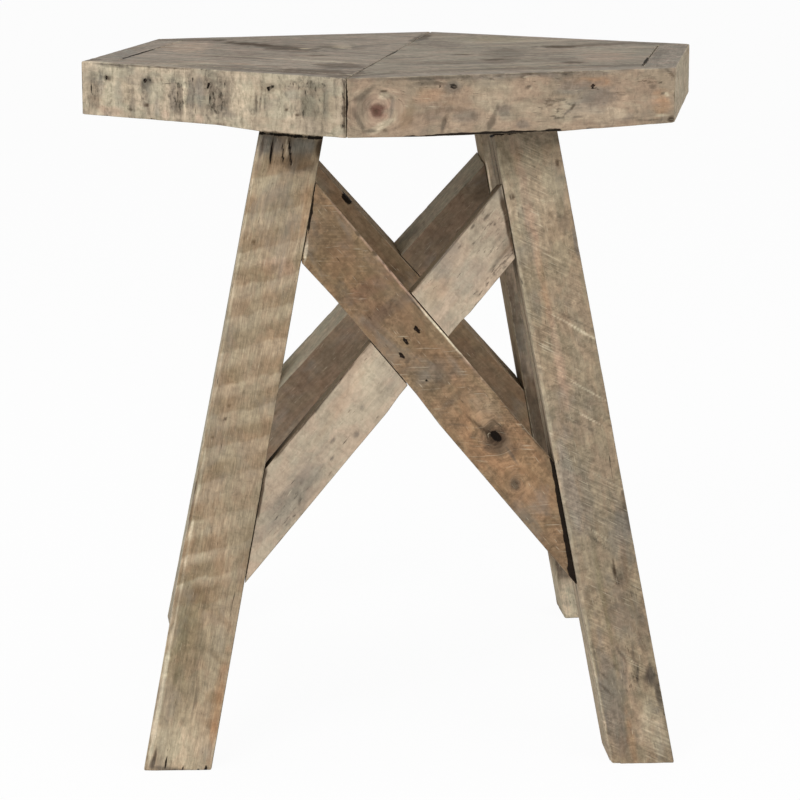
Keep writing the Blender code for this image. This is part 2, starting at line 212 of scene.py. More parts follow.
def brace_timber(trestle, fall, width):
    """A brace's timber, measured from the crossing to the right; b runs down across its face."""
    along = trestle.turned(cos(trestle.pitch), -fall * sin(trestle.pitch), 0)
    across = trestle.turned(-fall * sin(trestle.pitch), -cos(trestle.pitch), 0)
    through = trestle.turned(0, 0, 1)
    origin = trestle.place(0, trestle.crossing, BRACE_NEAR)
    timber = Timber(origin, along, across, through, (-width / 2, width / 2), (0, BRACE_THICKNESS))
    planes = []
    for side in (-1, 1):
        foot = trestle.place(side * (trestle.inner(0) - FIT / cos(trestle.splay)), 0, 0)
        planes.append((foot, trestle.across_leg(side)))
    return timber.cut(*planes)


def border_timber(corners, index):
    """A border board on edge, from its left corner as the outside sees it; b runs down."""
    inner = inset(corners, BORDER_THICKNESS)
    after = (index + 1) % 6
    side = (corners[after] - corners[index]).normalized()
    start = corners[index].to_3d() + Vector((0, 0, TABLE_HEIGHT))
    inward = Vector((-side.y, side.x, 0))
    timber = Timber(start, side.to_3d(), DOWN, inward, (0, BORDER_HEIGHT), (0, BORDER_THICKNESS))
    planes = []
    for corner, sign in ((index, 1), (after, -1)):
        mitre = (inner[corner] - corners[corner]).normalized()
        normal = Vector((mitre.y, -mitre.x, 0)) * sign
        normal *= 1 if normal.dot(side.to_3d()) * sign > 0 else -1
        planes.append((corners[corner].to_3d() + normal * FIT / 2, normal))
    return timber.cut(*planes)


def core_timber(corners, left):
    """Half of the core: along the seam from the front corner to the back one, and out to its border."""
    inner = inset(corners, BORDER_THICKNESS + FIT)
    seam = (inner[3] - inner[0]).normalized()
    outward = Vector((-seam.y, seam.x)) * (1 if left else -1)
    near, far = inner[0], inner[3]
    outer = (inner[5], inner[4]) if left else (inner[1], inner[2])
    gap = outward * FIT / 2
    start = Vector((near.x, near.y, TABLE_HEIGHT))
    width = max((point - near).dot(outward) for point in outer)
    timber = Timber(start, seam.to_3d(), outward.to_3d(), DOWN, (0, width), (0, CORE_THICKNESS))
    ends = ((meet(near + gap, seam, near, outer[0] - near), outer[0]),
            (meet(near + gap, seam, far, outer[1] - far), outer[1]))
    timber.corners = {
        (i, j, k): Vector((*ends[i][j], TABLE_HEIGHT - k * CORE_THICKNESS))
        for i, j, k in product((0, 1), repeat=3)
    }
    return timber


# Shaping

LOOP_PULL = 0.45  # how far the grid gathers towards the arrises
NOTCH_LOOPS = (0.42, 0.58)  # the shares of a brace's loops at which its notch starts and ends
HEAD_SINKS = (0.0003, 0.0016)  # how deep a head may lie under the side that it belongs to
RIM_DEPTH = 0.0002
HOLE_LEFT_OPEN = 0.45  # the share of a head's radius over which the wood hasn't closed again
HOLE_EXTRA_DEPTH = 0.0006
HOLE_SHADE_RIM = 0.0005
HOLE_GRID_REACH = 4.5  # how many radii away the grid is drawn in to a hole
HOLE_GRID_POWER = 0.6
FACE_BOW = 0.12 * MM
FIBRE_RIDGE = 0.1 * MM
SCATTER = (73856093, 19349663, 83492791, 668265263, 1274126177)  # mixes the cells of the noise
SIDES = {
    "near_end": (0, -1),
    "far_end": (0, 1),
    "upper": (1, -1),
    "lower": (1, 1),
    "outer": (2, -1),
    "inner": (2, 1),
}


def lumps(points, size, seed):
    """Smooth noise from -1 to 1 with lumps about size across; size may differ along each axis."""
    scaled = points / np.array(size)
    cell = np.floor(scaled).astype(np.int64)
    part = scaled - cell
    part = part * part * (3 - 2 * part)
    total = np.zeros(len(points))
    for corner in product((0, 1), repeat=3):
        mixed = np.bitwise_xor.reduce((cell + corner) * SCATTER[:3], axis=1) ^ (seed * SCATTER[3])
        mixed = (mixed ^ (mixed >> 13)) * SCATTER[4]
        mixed = (mixed ^ (mixed >> 16)) & 0xFFFF
        weight = np.prod(np.where(corner, part, 1 - part), axis=1)
        total += weight * (mixed / 32767.5 - 1)
    return total


def ramp(values, low, high):
    """Rises smoothly from 0 at low to 1 at high."""
    part = np.clip((values - low) / (high - low), 0, 1)
    return part * part * (3 - 2 * part)


def into_mesh(bm, name):
    mesh = bpy.data.meshes.new(name)
    bm.to_mesh(mesh)
    bm.free()
    return mesh


def put_in_room(name, data):
    item = bpy.data.objects.new(name, data)
    bpy.context.scene.collection.objects.link(item)
    return item


def sawn_block(cells):
    """A closed block of unit size, each side cut into a grid by loops across it, and its points."""
    bm = bmesh.new()
    bmesh.ops.create_cube(bm, size=1, matrix=Matrix.Translation((0.5, 0.5, 0.5)))
    for axis in (2, 1, 0):
        rungs = [e for e in bm.edges if abs(e.verts[0].co[axis] - e.verts[1].co[axis]) > 0.5]
        bmesh.ops.subdivide_edges(bm, edges=rungs, cuts=cells[axis] - 1)
    mesh = into_mesh(bm, "timber")
    shares = np.empty(len(mesh.vertices) * 3)
    mesh.vertices.foreach_get("co", shares)
    shares = shares.reshape(-1, 3)
    gathered = shares[:, 1:]
    gathered -= LOOP_PULL * np.sin(2 * pi * gathered) / (2 * pi)
    return mesh, shares


class Lap:
    """The half-lap notch in a brace, where the other brace of the X passes through."""

    def __init__(self, timber, other, keeps_outer_half):
        along, across = timber.axes[0].dot(other.axes[1]), timber.axes[1].dot(other.axes[1])
        self.slant = -across / along
        self.reach = (other.breadth[1] + FIT) / abs(along)
        self.keeps_outer_half = keeps_outer_half

    def edge(self, b, side):
        """How far from the crossing a side of the notch lies, at b across the brace."""
        return self.slant * b + side * self.reach

    def set_out(self, timber, shares, cells):
        """Moves the loops of the block on to the notch's sides; returns the depth that is left."""
        low = timber.own(timber.filled(shares * (0, 1, 1)))
        high = timber.own(timber.filled(shares * (0, 1, 1) + (1, 0, 0)))[:, 0]
        b, low = low[:, 1], low[:, 0]
        station = np.rint(shares[:, 0] * cells)
        left, right = (int(cells * share) for share in NOTCH_LOOPS)
        loops = (0, left, left + 1, right, right + 1, cells)
        start, end = self.edge(b, -1), self.edge(b, 1)
        places = (low, start - FIT, start, end, end + FIT, high)
        a = low.copy()
        for index in range(5):
            part = (station - loops[index]) / (loops[index + 1] - loops[index])
            inside = part > 0
            a[inside] = (places[index] + np.clip(part, 0, 1) * (places[index + 1] - places[index]))[inside]
        shares[:, 0] = (a - low) / (high - low)
        notched = (station > left) & (station <= right)
        kept = 0.5 - FIT / 2 / BRACE_THICKNESS
        start = np.where(notched & (not self.keeps_outer_half), 1 - kept, 0)
        return start, np.where(notched, kept, 1)


def fastener_spots(timber, nodes):
    """Where the heads of screws and nails sit under the timber's long sides."""
    spots = []
    spans = (timber.breadth, timber.depth)
    low, high = sorted(timber.own(np.array([timber.corners[end, 0, 0] for end in (0, 1)]))[:, 0])
    for node in nodes:
        heads = timber.own(np.array([vertex.co for vertex in node.data.vertices]))
        for side in ("upper", "lower", "outer", "inner"):
            axis, sign = SIDES[side]
            edge = spans[axis - 1][0 if sign < 0 else 1]
            sink = (edge - heads[:, axis]) * sign
            top = sink.min()
            if not HEAD_SINKS[0] < top < HEAD_SINKS[1]:
                continue
            rim = heads[sink < top + RIM_DEPTH]
            centre = (rim.max(axis=0) + rim.min(axis=0)) / 2
            other = spans[2 - axis]
            if low < centre[0] < high and other[0] < centre[3 - axis] < other[1]:
                radius = (rim[:, 0].max() - rim[:, 0].min()) / 2 * HOLE_LEFT_OPEN
                spots.append((side, centre, radius, top, node))
    return spots


def pull_to_hole(metric, home, spot):
    """Draws the grid in towards a hole, so that its rim gets enough points to be round."""
    side, centre, radius = spot[:3]
    across = 3 - SIDES[side][0]
    aside = (home - centre)[:, (0, across)]
    distance = np.hypot(*aside.T)
    reach = radius * HOLE_GRID_REACH
    close = (distance < reach) & (distance > 0)
    factor = np.where(close, (np.maximum(distance, 1e-9) / reach) ** HOLE_GRID_POWER, 1)
    metric[:, (0, across)] += aside * (factor - 1)[:, None]
    return distance * factor


def wave_at(wood, side, along):
    """How far a side stands out past the plain board, at places along the timber."""
    places, moves = np.array(wood.waves.get(side, ((0, 0),))).T * MM
    return np.interp(along, places, moves)


def shape_timber(timber, cells, wood, lap, spots):
    """The worn board as a mesh, with what its materials need to know on every vertex."""
    mesh, shares = sawn_block(cells)
    start, kept = lap.set_out(timber, shares, cells[0]) if lap else (0, np.ones(len(shares)))
    full_sizes = timber.sizes(shares)
    sizes = full_sizes.copy()
    sizes[:, 2] *= kept
    metric = shares * sizes
    even = metric.copy()
    shares[:, 2] = start + shares[:, 2] * kept
    home = timber.own(timber.filled(shares))
    holes = [(spot, pull_to_hole(metric, home, spot)) for spot in spots]
    metric = np.clip(metric, 0, sizes)

    rough = home + metric - even
    arris = wood.arris * MM * (1 + 0.45 * lumps(rough, (0.035, 0.02, 0.02), wood.seed))
    nibbled = ramp(lumps(rough, (0.009, 0.01, 0.01), wood.seed + 1), 0.25, 0.9)
    arris += wood.nibble * MM * nibbled
    for side_a, side_b, place, reach, size in wood.chips:
        near = np.exp(-(((rough[:, 0] - place * MM) / (reach * MM)) ** 2))
        for side in (side_a, side_b):
            axis, sign = SIDES[side]
            gap = metric[:, axis] if sign < 0 else sizes[:, axis] - metric[:, axis]
            near = near * (gap < size * 2 * MM)
        arris += near * size * MM
    arris = np.minimum(arris, sizes[:, 2] * 0.3)
    core = np.clip(metric, arris[:, None], sizes - arris[:, None])
    normal = metric - core
    normal /= np.maximum(np.linalg.norm(normal, axis=1), 1e-9)[:, None]
    metric = core + normal * arris[:, None]

    ripple = 1 + lumps(rough, (0.09, 0.03, 0.03), wood.seed + 2)
    fibre = ramp(lumps(rough, (0.03, 0.0018, 0.0018), wood.seed + 3), 0.1, 0.9)
    sink = FACE_BOW * ripple + FIBRE_RIDGE * fibre
    hole_shade = 0.42 * nibbled * (np.abs(normal).max(axis=1) < 0.98)
    for spot, distance in holes:
        axis, sign = SIDES[spot[0]]
        facing = normal[:, axis] * sign > 0.6
        inside = (distance < spot[2]) & facing
        sink = np.where(inside, spot[3] + HOLE_EXTRA_DEPTH, sink)
        hole_shade = np.maximum(hole_shade, facing * ramp(-distance, -(spot[2] + HOLE_SHADE_RIM), -spot[2]))
    metric = np.clip(metric - normal * sink[:, None], 0, sizes)

    shares = timber.shares_at(home + metric - even, shares, full_sizes)
    along = timber.own(timber.filled(shares))[:, 0]
    for side in wood.waves:
        axis, sign = SIDES[side]
        near = shares[:, axis] if sign > 0 else 1 - shares[:, axis]
        shares[:, axis] += sign * wave_at(wood, side, along) * ramp(near, 0.4, 1) / full_sizes[:, axis]
    points = timber.filled(shares)
    mesh.vertices.foreach_set("co", points.astype(np.float32).ravel())
    if timber.axes[0].cross(timber.axes[1]).dot(timber.axes[2]) < 0:
        mesh.flip_normals()
    mesh.update()
    paint(mesh, timber, wood, points, normal, hole_shade)
    return mesh


# Colour of the wood


def linear(red, green, blue):
    """A colour as a screen shows it, 0 to 255, as the linear values that a shader takes."""
    return np.array([((value / 255 + 0.055) / 1.055) ** 2.4 for value in (red, green, blue)])


COLOURS = {
    "black": linear(14, 9, 6),
    "dark": linear(72, 58, 45),
    "umber": linear(88, 79, 69),
    "shade": linear(112, 105, 96),
    "grey": linear(134, 128, 118),
    "blue": linear(116, 114, 110),
    "olive": linear(112, 104, 76),
    "plum": linear(104, 74, 64),
    "brown": linear(108, 82, 58),
    "tan": linear(126, 104, 78),
    "orange": linear(176, 134, 98),
    "pink": linear(190, 158, 138),
    "light": linear(212, 198, 172),
    "cream": linear(226, 212, 186),
}


def marks(*items):
    """Marks on the wood, some of them painted light and shade: along, across, half length, half width,
    strength in percent and degrees turned.

    A word sets the side or the colour of the marks after it. "plan" is the top seen from above, where
    along is X and across runs to the front. Later marks lie over earlier ones.
    """
    side = colour = None
    laid = []
    for item in items:
        if item in COLOURS:
            colour = item
        elif isinstance(item, str):
            side = item
        else:
            *place, percent = item[:5]
            laid.append((side, colour, *place, percent / 100, *(item[5:] or (0,))))
    return tuple(laid)


@dataclass
class Wood:
    """How one piece of wood looks; lengths are in millimetres unless the line says otherwise."""

    seed: int
    # Some pieces give a side a lighter or darker colour as painted light and shade.
    tones: dict  # a colour for a side, and "all" for the sides that have none
    arris: float = 1.0  # rounding of the edges
    nibble: float = 0.8  # extra rounding where they are nibbled
    chips: tuple = ()  # two sides, place, reach and size
    waves: dict = field(default_factory=dict)  # how far a side stands out at places along it
    closed: tuple = ()  # fasteners whose holes have closed over
    marks: tuple = ()
    knots: tuple = ()  # side, along, across and radius
    cuts: tuple = ()  # places of saw cuts, slant, bow, half width and strength
    saw: tuple = ()  # period of the saw bands in metres, slant, bow, phase, wobble and strength
    strokes: tuple = ()  # slope in degrees and strength of slanting scratches
    lie: float = 0  # degrees that the grain is turned on the face
    fuzz: float = 1.0  # strengths of the fine patterns
    streak: float = 1.0
    mottle: float = 1.0
    cross: float = 0.04
    rings: float = 0.06
    grit: float = 0.1
    worn: float = 0.45  # how bare the rubbed arrises are


# Rings round the pith of the log and round a knot, in metres
PITH = (0.02, 0.05)
GROWTH_RINGS_PER_METRE = 260
KNOT_EDGE = 0.01
KNOT_RING_SPACING = 0.0042
FAR_FROM_KNOTS = 0.1


class Surface:
    """The points of a worn timber, on its own axes and in the room, and the way that each of them faces."""

    def __init__(self, timber, points, normal):
        self.own = timber.own(points)
        self.points = points
        self.normal = normal
        self.up = (normal @ np.array(timber.axes))[:, 2]
        self.from_lower = self.own[:, 1] - timber.breadth[1]

    def from_place(self, side, along, across):
        """Coordinates on a side, in metres, from a place given in millimetres."""
        if side == "plan":
            return self.points[:, 0] - along * MM, -self.points[:, 1] - across * MM
        return self.own[:, 0] - along * MM, self.own[:, 3 - SIDES[side][0]] - across * MM

    def facing(self, side):
        """How fully each point faces a side, from 0 to 1."""
        if side == "plan":
            return ramp(self.up, 0.35, 0.8)
        axis, sign = SIDES[side]
        return ramp(self.normal[:, axis] * sign, 0.3, 0.8)


def base_tone(surface, wood):
    """The colour of each side, blended over the arrises."""
    tone = np.zeros(surface.own.shape)
    weight = np.full(len(tone), 1e-6)
    for side in SIDES:
        share = surface.facing(side)
        tone += share[:, None] * linear(*wood.tones.get(side, wood.tones["all"]))
        weight += share
    return tone / weight[:, None]


def lay_marks(surface, wood, tone, dark):
    """Lays marks and saw cuts over the tone, in place, and returns the dark with the black marks in it."""
    wander = lumps(surface.own, (0.007, 0.003, 0.003), wood.seed + 4)
    drift = lumps(surface.own, (0.02, 0.008, 0.008), wood.seed + 5)
    for side, colour, along, across, half_long, half_wide, strength, turn in wood.marks:
        s, t = surface.from_place(side, along, across)
        turn = radians(turn)
        x = (s * cos(turn) + t * sin(turn)) / (half_long * MM)
        y = (t * cos(turn) - s * sin(turn)) / (half_wide * MM)
        near = np.hypot(x, y) * (1 + 0.3 * wander + 0.2 * drift)
        share = ramp(-near, -1.3, -0.5) * surface.facing(side) * strength
        if colour == "black":
            dark = np.maximum(dark, share)
        else:
            tone += share[:, None] * (COLOURS[colour] - tone)
    if wood.cuts:
        places, slant, bow, half_wide, strength = wood.cuts
        run = surface.own[:, 0] + slant * surface.from_lower + bow * surface.from_lower**2
        run += 0.0016 * drift + 0.001 * wander
        band = np.zeros(len(run))
        for place in places:
            aside = (run - place * MM) / (half_wide * MM)
            band = np.maximum(band, ramp(aside, -1.6, -0.5) * ramp(-aside, -1.0, -0.65))
        broken = 0.72 + 0.4 * lumps(surface.own, (0.03, 0.012, 0.01), wood.seed + 6)
        share = band * broken * surface.facing("outer") * strength
        tone += share[:, None] * (COLOURS["tan"] - tone)
    return dark


def lay_grain(surface, wood):
    """Where each point lies in the grain, which bends round the knots, and in the rings of a knot."""
    own = surface.own
    grain = own.copy()
    if wood.lie:
        lie = radians(wood.lie)
        grain[:, 0] = own[:, 0] * cos(lie) + own[:, 1] * sin(lie)
        grain[:, 1] = own[:, 1] * cos(lie) - own[:, 0] * sin(lie)
    ring = np.full(len(own), FAR_FROM_KNOTS)
    for side, along, across, radius in wood.knots:
        s, t = surface.from_place(side, along, across)
        size = radius * MM
        spread = (s / 1.7) ** 2 + t**2
        facing = surface.facing(side)
        grain[:, 3 - SIDES[side][0]] -= facing * t * (size * 1.5) ** 2 / (spread + (size * 0.7) ** 2)
        ring = np.where(facing > 0.5, np.minimum(ring, np.hypot(s, t) / size * KNOT_EDGE), ring)
    return grain, ring


def paint(mesh, timber, wood, points, normal, hole_shade):
    """Writes each vertex's grain place, base tone, dark marks and wear on the mesh."""
    surface = Surface(timber, points, normal)
    tone = base_tone(surface, wood)
    dark = lay_marks(surface, wood, tone, hole_shade)
    grain, ring = lay_grain(surface, wood)
    wear = np.sort(np.abs(normal), axis=1)[:, 1] ** 1.2 * 1.6
    for name, kind, key, values in (
        ("timber", "FLOAT_VECTOR", "vector", grain),
        ("tone", "FLOAT_VECTOR", "vector", tone),
        ("dark", "FLOAT", "value", dark),
        ("wear", "FLOAT", "value", np.clip(wear, 0, 1)),
        ("ring", "FLOAT", "value", ring),
    ):
        attribute = mesh.attributes.new(name, kind, "POINT")
        attribute.data.foreach_set(key, values.astype(np.float32).ravel())


# Materials


class Value:
    """A number, a colour or a vector inside a material, which takes sums like any number."""

    def __init__(self, nodes, socket):
        self.nodes = nodes
        self.socket = socket

    def __add__(self, other):
        return self.nodes.maths("ADD", self, other)

    def __radd__(self, other):
        return self.nodes.maths("ADD", other, self)

    def __sub__(self, other):
        return self.nodes.maths("SUBTRACT", self, other)

    def __rsub__(self, other):
        return self.nodes.maths("SUBTRACT", other, self)

    def __mul__(self, other):
        return self.nodes.maths("MULTIPLY", self, other)

    def between(self, low, high, to_low=0, to_high=1):
        """Runs smoothly from one value at low to another at high."""
        inputs = dict(enumerate((self, low, high, to_low, to_high)))
        return self.nodes.add("ShaderNodeMapRange", inputs, interpolation_type="SMOOTHSTEP")


class Nodes:
    """A node tree under construction."""

    def __init__(self, tree):
        self.tree = tree

    def feed(self, socket, value):
        """Links a value to a socket, or sets the socket's own value."""
        if isinstance(value, Value):
            self.tree.links.new(value.socket, socket)
        elif socket.type == "RGBA":
            socket.default_value = (*value, 1)
        else:
            socket.default_value = value

    def add(self, kind, inputs=None, output=0, **settings):
        """One output of a new node; its inputs are keyed by their place or name."""
        node = self.tree.nodes.new(kind)
        for key, value in settings.items():
            setattr(node, key, value)
        for key, value in (inputs or {}).items():
            self.feed(node.inputs[key], value)
        return Value(self, node.outputs[output])

    def maths(self, operation, *values):
        return self.add("ShaderNodeMath", dict(enumerate(values)), operation=operation)


class Finish(Nodes):
    """A material under construction, with short names for the nodes that it uses."""

    def __init__(self, name):
        self.material = bpy.data.materials.new(name)
        self.material.use_nodes = True
        super().__init__(self.material.node_tree)
        self.shader = self.tree.nodes["Principled BSDF"]

    def set(self, name, value):
        """Feeds one of the shader's own sockets."""
        self.feed(self.shader.inputs[name], value)

    def attribute(self, name, output):
        return self.add("ShaderNodeAttribute", None, output, attribute_name=name)

    def noise(self, place, scale, offset=(0, 0, 0), detail=2, roughness=0.5, distortion=0):
        """Noise with a number of cells to the metre along each axis."""
        stretched = self.add("ShaderNodeMapping", {"Vector": place, "Location": offset, "Scale": scale})
        inputs = {"Vector": stretched, "Scale": 1, "Detail": detail, "Roughness": roughness}
        return self.add("ShaderNodeTexNoise", {**inputs, "Distortion": distortion})

    def blend(self, share, first, second):
        return self.add("ShaderNodeMix", {0: share, 6: first, 7: second}, 2, data_type="RGBA")

    def shade(self, colour, value):
        """The colour made darker or lighter by a factor."""
        return self.add("ShaderNodeVectorMath", {0: colour, "Scale": value}, operation="SCALE")

    def tint(self, colour, factors):
        return self.add("ShaderNodeVectorMath", {0: colour, 1: factors}, operation="MULTIPLY")

    def bump(self, height, strength, distance):
        inputs = {"Strength": strength, "Distance": distance, "Height": height}
        self.set("Normal", self.add("ShaderNodeBump", inputs))


def weathered_pine(name, wood):
    """Sawn, aged pine: fibres, growth rings, saw bands, flecks, cracks and rubbed arrises."""
    look = Finish(name)
    place, tone = (look.attribute(key, "Vector") for key in ("timber", "tone"))
    wear, dark, ring = (look.attribute(key, "Fac") for key in ("wear", "dark", "ring"))
    seed = wood.seed * 0.37
    offset = (seed, seed * 1.7, seed * 2.3)

    bend = (look.noise(place, (9, 30, 30), offset) - 0.5) * 0.008
    bend = look.add("ShaderNodeCombineXYZ", {1: bend})
    grain = look.add("ShaderNodeVectorMath", {0: place, 1: bend}, operation="ADD")

    fibres = look.noise(grain, (48, 460, 460), offset, 5, 0.66)
    hairs = look.noise(grain, (130, 1500, 1500), offset, 2, 0.6)
    streaks = look.noise(grain, (9, 95, 95), offset, 3, 0.55)
    felt = look.noise(place, (120, 200, 200), offset, 5, 0.68, 0.3)
    blotches = look.noise(place, (22, 38, 38), offset, 4, 0.6, 0.6)
    patches = look.noise(place, (11, 14, 14), offset, 3, 0.55, 0.4)
    across = look.noise(place, (190, 32, 32), offset, 4, 0.66, 0.5)
    mottle = look.noise(place, (130, 170, 170), (seed * 2, seed, 4), 3, 0.62, 0.8)
    hue = look.noise(place, (42, 75, 75), (seed, 6, seed * 3), 3, 0.6, 0.5)
    warmth = look.noise(grain, (13, 60, 60), (seed * 3, 5, 9), 3, 0.5)
    grit = look.noise(place, (330, 240, 240), (seed * 2, 8, seed), 3, 0.7, 0.4)
    grit = grit.between(0.36, 0.64, -1, 1) * across.between(0.3, 0.58, 1.4, 0.35)

    a, b, c = (look.add("ShaderNodeSeparateXYZ", {0: grain}, axis) for axis in range(3))
    from_pith_b = b + a * 0.03 - PITH[0]
    from_pith_c = c - PITH[1]
    radius = look.maths("SQRT", from_pith_b * from_pith_b + from_pith_c * from_pith_c) + streaks * 0.005
    growth = look.maths("FRACT", radius * GROWTH_RINGS_PER_METRE)
    growth = growth.between(0.35, 0.98) * blotches.between(0.35, 0.6)

    colour = tone
    for pattern, low, high, darker, lighter in (
        (fibres, 0.3, 0.7, 0.12 * wood.fuzz, 0.1 * wood.fuzz),
        (hairs, 0.34, 0.66, 0.08 * wood.fuzz, 0.07 * wood.fuzz),
        (streaks, 0.3, 0.7, 0.07 * wood.streak, 0.07 * wood.streak),
        (felt, 0.32, 0.68, 0.13 * wood.mottle, 0.11 * wood.mottle),
        (mottle, 0.38, 0.62, 0.08 * wood.mottle, 0.07 * wood.mottle),
        (across, 0.4, 0.6, wood.cross, wood.cross * 0.7),
    ):
        colour = look.shade(colour, pattern.between(low, high, 1 - darker, 1 + lighter))
    colour = look.shade(colour, 1 + grit * wood.grit)
    greener, warmer = look.tint(colour, (0.975, 0.995, 0.975)), look.tint(colour, (1.035, 0.988, 0.965))
    colour = look.blend(hue.between(0.4, 0.6), greener, warmer)
    colour = look.shade(colour, growth.between(0, 1, 1, 1 - wood.rings))
    greyed = look.shade(COLOURS["grey"], fibres.between(0.3, 0.7, 0.8, 1.08))
    colour = look.blend(blotches.between(0.5, 0.72, 0, 0.4), colour, greyed)
    colour = look.shade(colour, patches.between(0.3, 0.7, 0.92, 1.08))
    colour = look.blend(warmth.between(0.56, 0.78, 0, 0.22), colour, look.shade(COLOURS["orange"], 0.8))
    height = fibres * 0.7 + hairs * 0.3 + felt * 0.5 + across * (wood.cross * 3)

    if wood.saw:
        period, slant, bow, phase, wobble, strength = wood.saw
        run = a + b * slant + b * b * bow + (patches - 0.5) * (period * wobble) - phase
        band = look.maths("SINE", run * (2 * pi / period)) + (felt - 0.5) * 2.2
        cover = look.noise(place, (16, 30, 30), (seed * 5, 1, 4), 3, 0.6).between(0.36, 0.6, 0.15)
        sawn = band.between(-0.2, 1.1) * cover * fibres.between(0.3, 0.62, 1.25, 0.6)
        colour = look.shade(colour, sawn.between(0, 1, 1 + 0.07 * strength, 1 - 0.27 * strength))
        height = height - sawn * (0.7 * strength)
    if wood.strokes:
        slope, strength = wood.strokes
        tilted = look.add("ShaderNodeMapping", {"Vector": place, "Rotation": (0, 0, radians(slope))})
        where = look.noise(place, (17, 45, 45), (4, seed, 2)).between(0.42, 0.6)
        scratched = look.noise(tilted, (34, 620, 300), (seed, 2, 5), 3, 0.6).between(0.36, 0.64, -1, 1)
        scratched = scratched * where * strength
        colour = look.shade(colour, 1 + scratched)
        height = height + scratched
        scored = look.noise(tilted, (44, 760, 300), (2, seed, 7)).between(0.62, 0.7, 0, 3 * strength)
        colour = look.blend(scored * where, colour, look.shade(COLOURS["light"], 0.9))

    sawn_across = wood.cross > 0.15
    knot_rings = look.maths("SINE", (ring + blotches * 0.011) * (2 * pi / KNOT_RING_SPACING))
    knot_rings = knot_rings.between(0.2, 0.95) * ring.between(0.011, 0.024, 0.4, 0)
    colour = look.shade(colour, 1 - knot_rings * 0.34)
    flecks = look.noise(grain, (700, 110, 110) if sawn_across else (110, 700, 700), (3, seed, 1), 3, 0.6)
    flecks = flecks.between(0.64, 0.74) * patches.between(0.4, 0.6, 0.15, 0.75)
    splinters = look.noise(grain, (80, 800, 800), (seed, 3, 8), 2, 0.6).between(0.66, 0.76, 0, 0.45)
    cracks = look.noise(grain, (26, 420, 420), (seed, 7, 2), 4, 0.55).between(0.7, 0.76, 0, 0.7)
    torn = look.noise(grain, (420, 260, 260) if sawn_across else (160, 600, 600), (1, 2, seed), 3, 0.6)
    marked = (dark + (torn - 0.5) * 0.9).between(0.36, 0.66, 0, 0.96)
    rubbed = (wear * felt.between(0.35, 0.6, 0.3, 1)).between(0.25, 0.95, 0, wood.worn)
    bare = look.shade(COLOURS["light"], fibres.between(0.3, 0.7, 0.8, 1.0))
    for share, over in (
        (rubbed, bare),
        (splinters, bare),
        (flecks, COLOURS["dark"]),
        (cracks, COLOURS["black"]),
        (marked, COLOURS["black"]),
    ):
        colour = look.blend(share, colour, over)
    look.set("Base Color", colour)
    look.set("Roughness", fibres.between(0.3, 0.7, 0.95, 0.84))
    look.set("Specular IOR Level", 0.1)
    look.bump(height - cracks * 1.2 - marked * 0.8 + splinters * 0.6, 0.6, 0.0007)
    return look.material


def plain_wood(name, tone, turn, seed):
    """Rough sawn pine on a piece that runs along X, turned in plan: fibres, streaks and saw scratches."""
    look = Finish(name)
    place = look.add("ShaderNodeTexCoord", None, "Object")
    turned = {"Vector": place, "Location": (seed, 0, 0), "Rotation": (0, 0, -turn)}
    place = look.add("ShaderNodeMapping", turned)
    fibres = look.noise(place, (22, 620, 620), detail=4, roughness=0.62)
    streaks = look.noise(place, (7, 120, 120), detail=3, roughness=0.55)
    scratches = look.noise(place, (500, 25, 25))
    colour = look.shade(linear(*tone), fibres.between(0.25, 0.75, 0.75, 1.2))
    colour = look.shade(colour, streaks.between(0.3, 0.7, 0.8, 1.15))
    look.set("Base Color", look.shade(colour, scratches.between(0.55, 0.7, 1, 0.85)))
    look.set("Roughness", fibres.between(0.3, 0.7, 0.95, 0.85))
    look.bump(fibres, 0.4, 0.0005)
    return look.material


def aged_metal(name, bright, dull, metallic, roughness):
    """Screw steel or nail iron: bare metal between patches of brown rust."""
    look = Finish(name)
    place = look.add("ShaderNodeTexCoord", None, "Object")
    rust = look.noise(place, (700, 700, 700), detail=4, roughness=0.6)
    cover = rust.between(0.42, 0.58)
    look.set("Base Color", look.blend(cover, linear(*bright), linear(*dull)))
    look.set("Metallic", cover.between(0, 1, metallic, 0.1))
    look.set("Roughness", cover.between(0, 1, roughness, 0.9))
    look.bump(rust, 0.4, 0.0003)
    return look.material
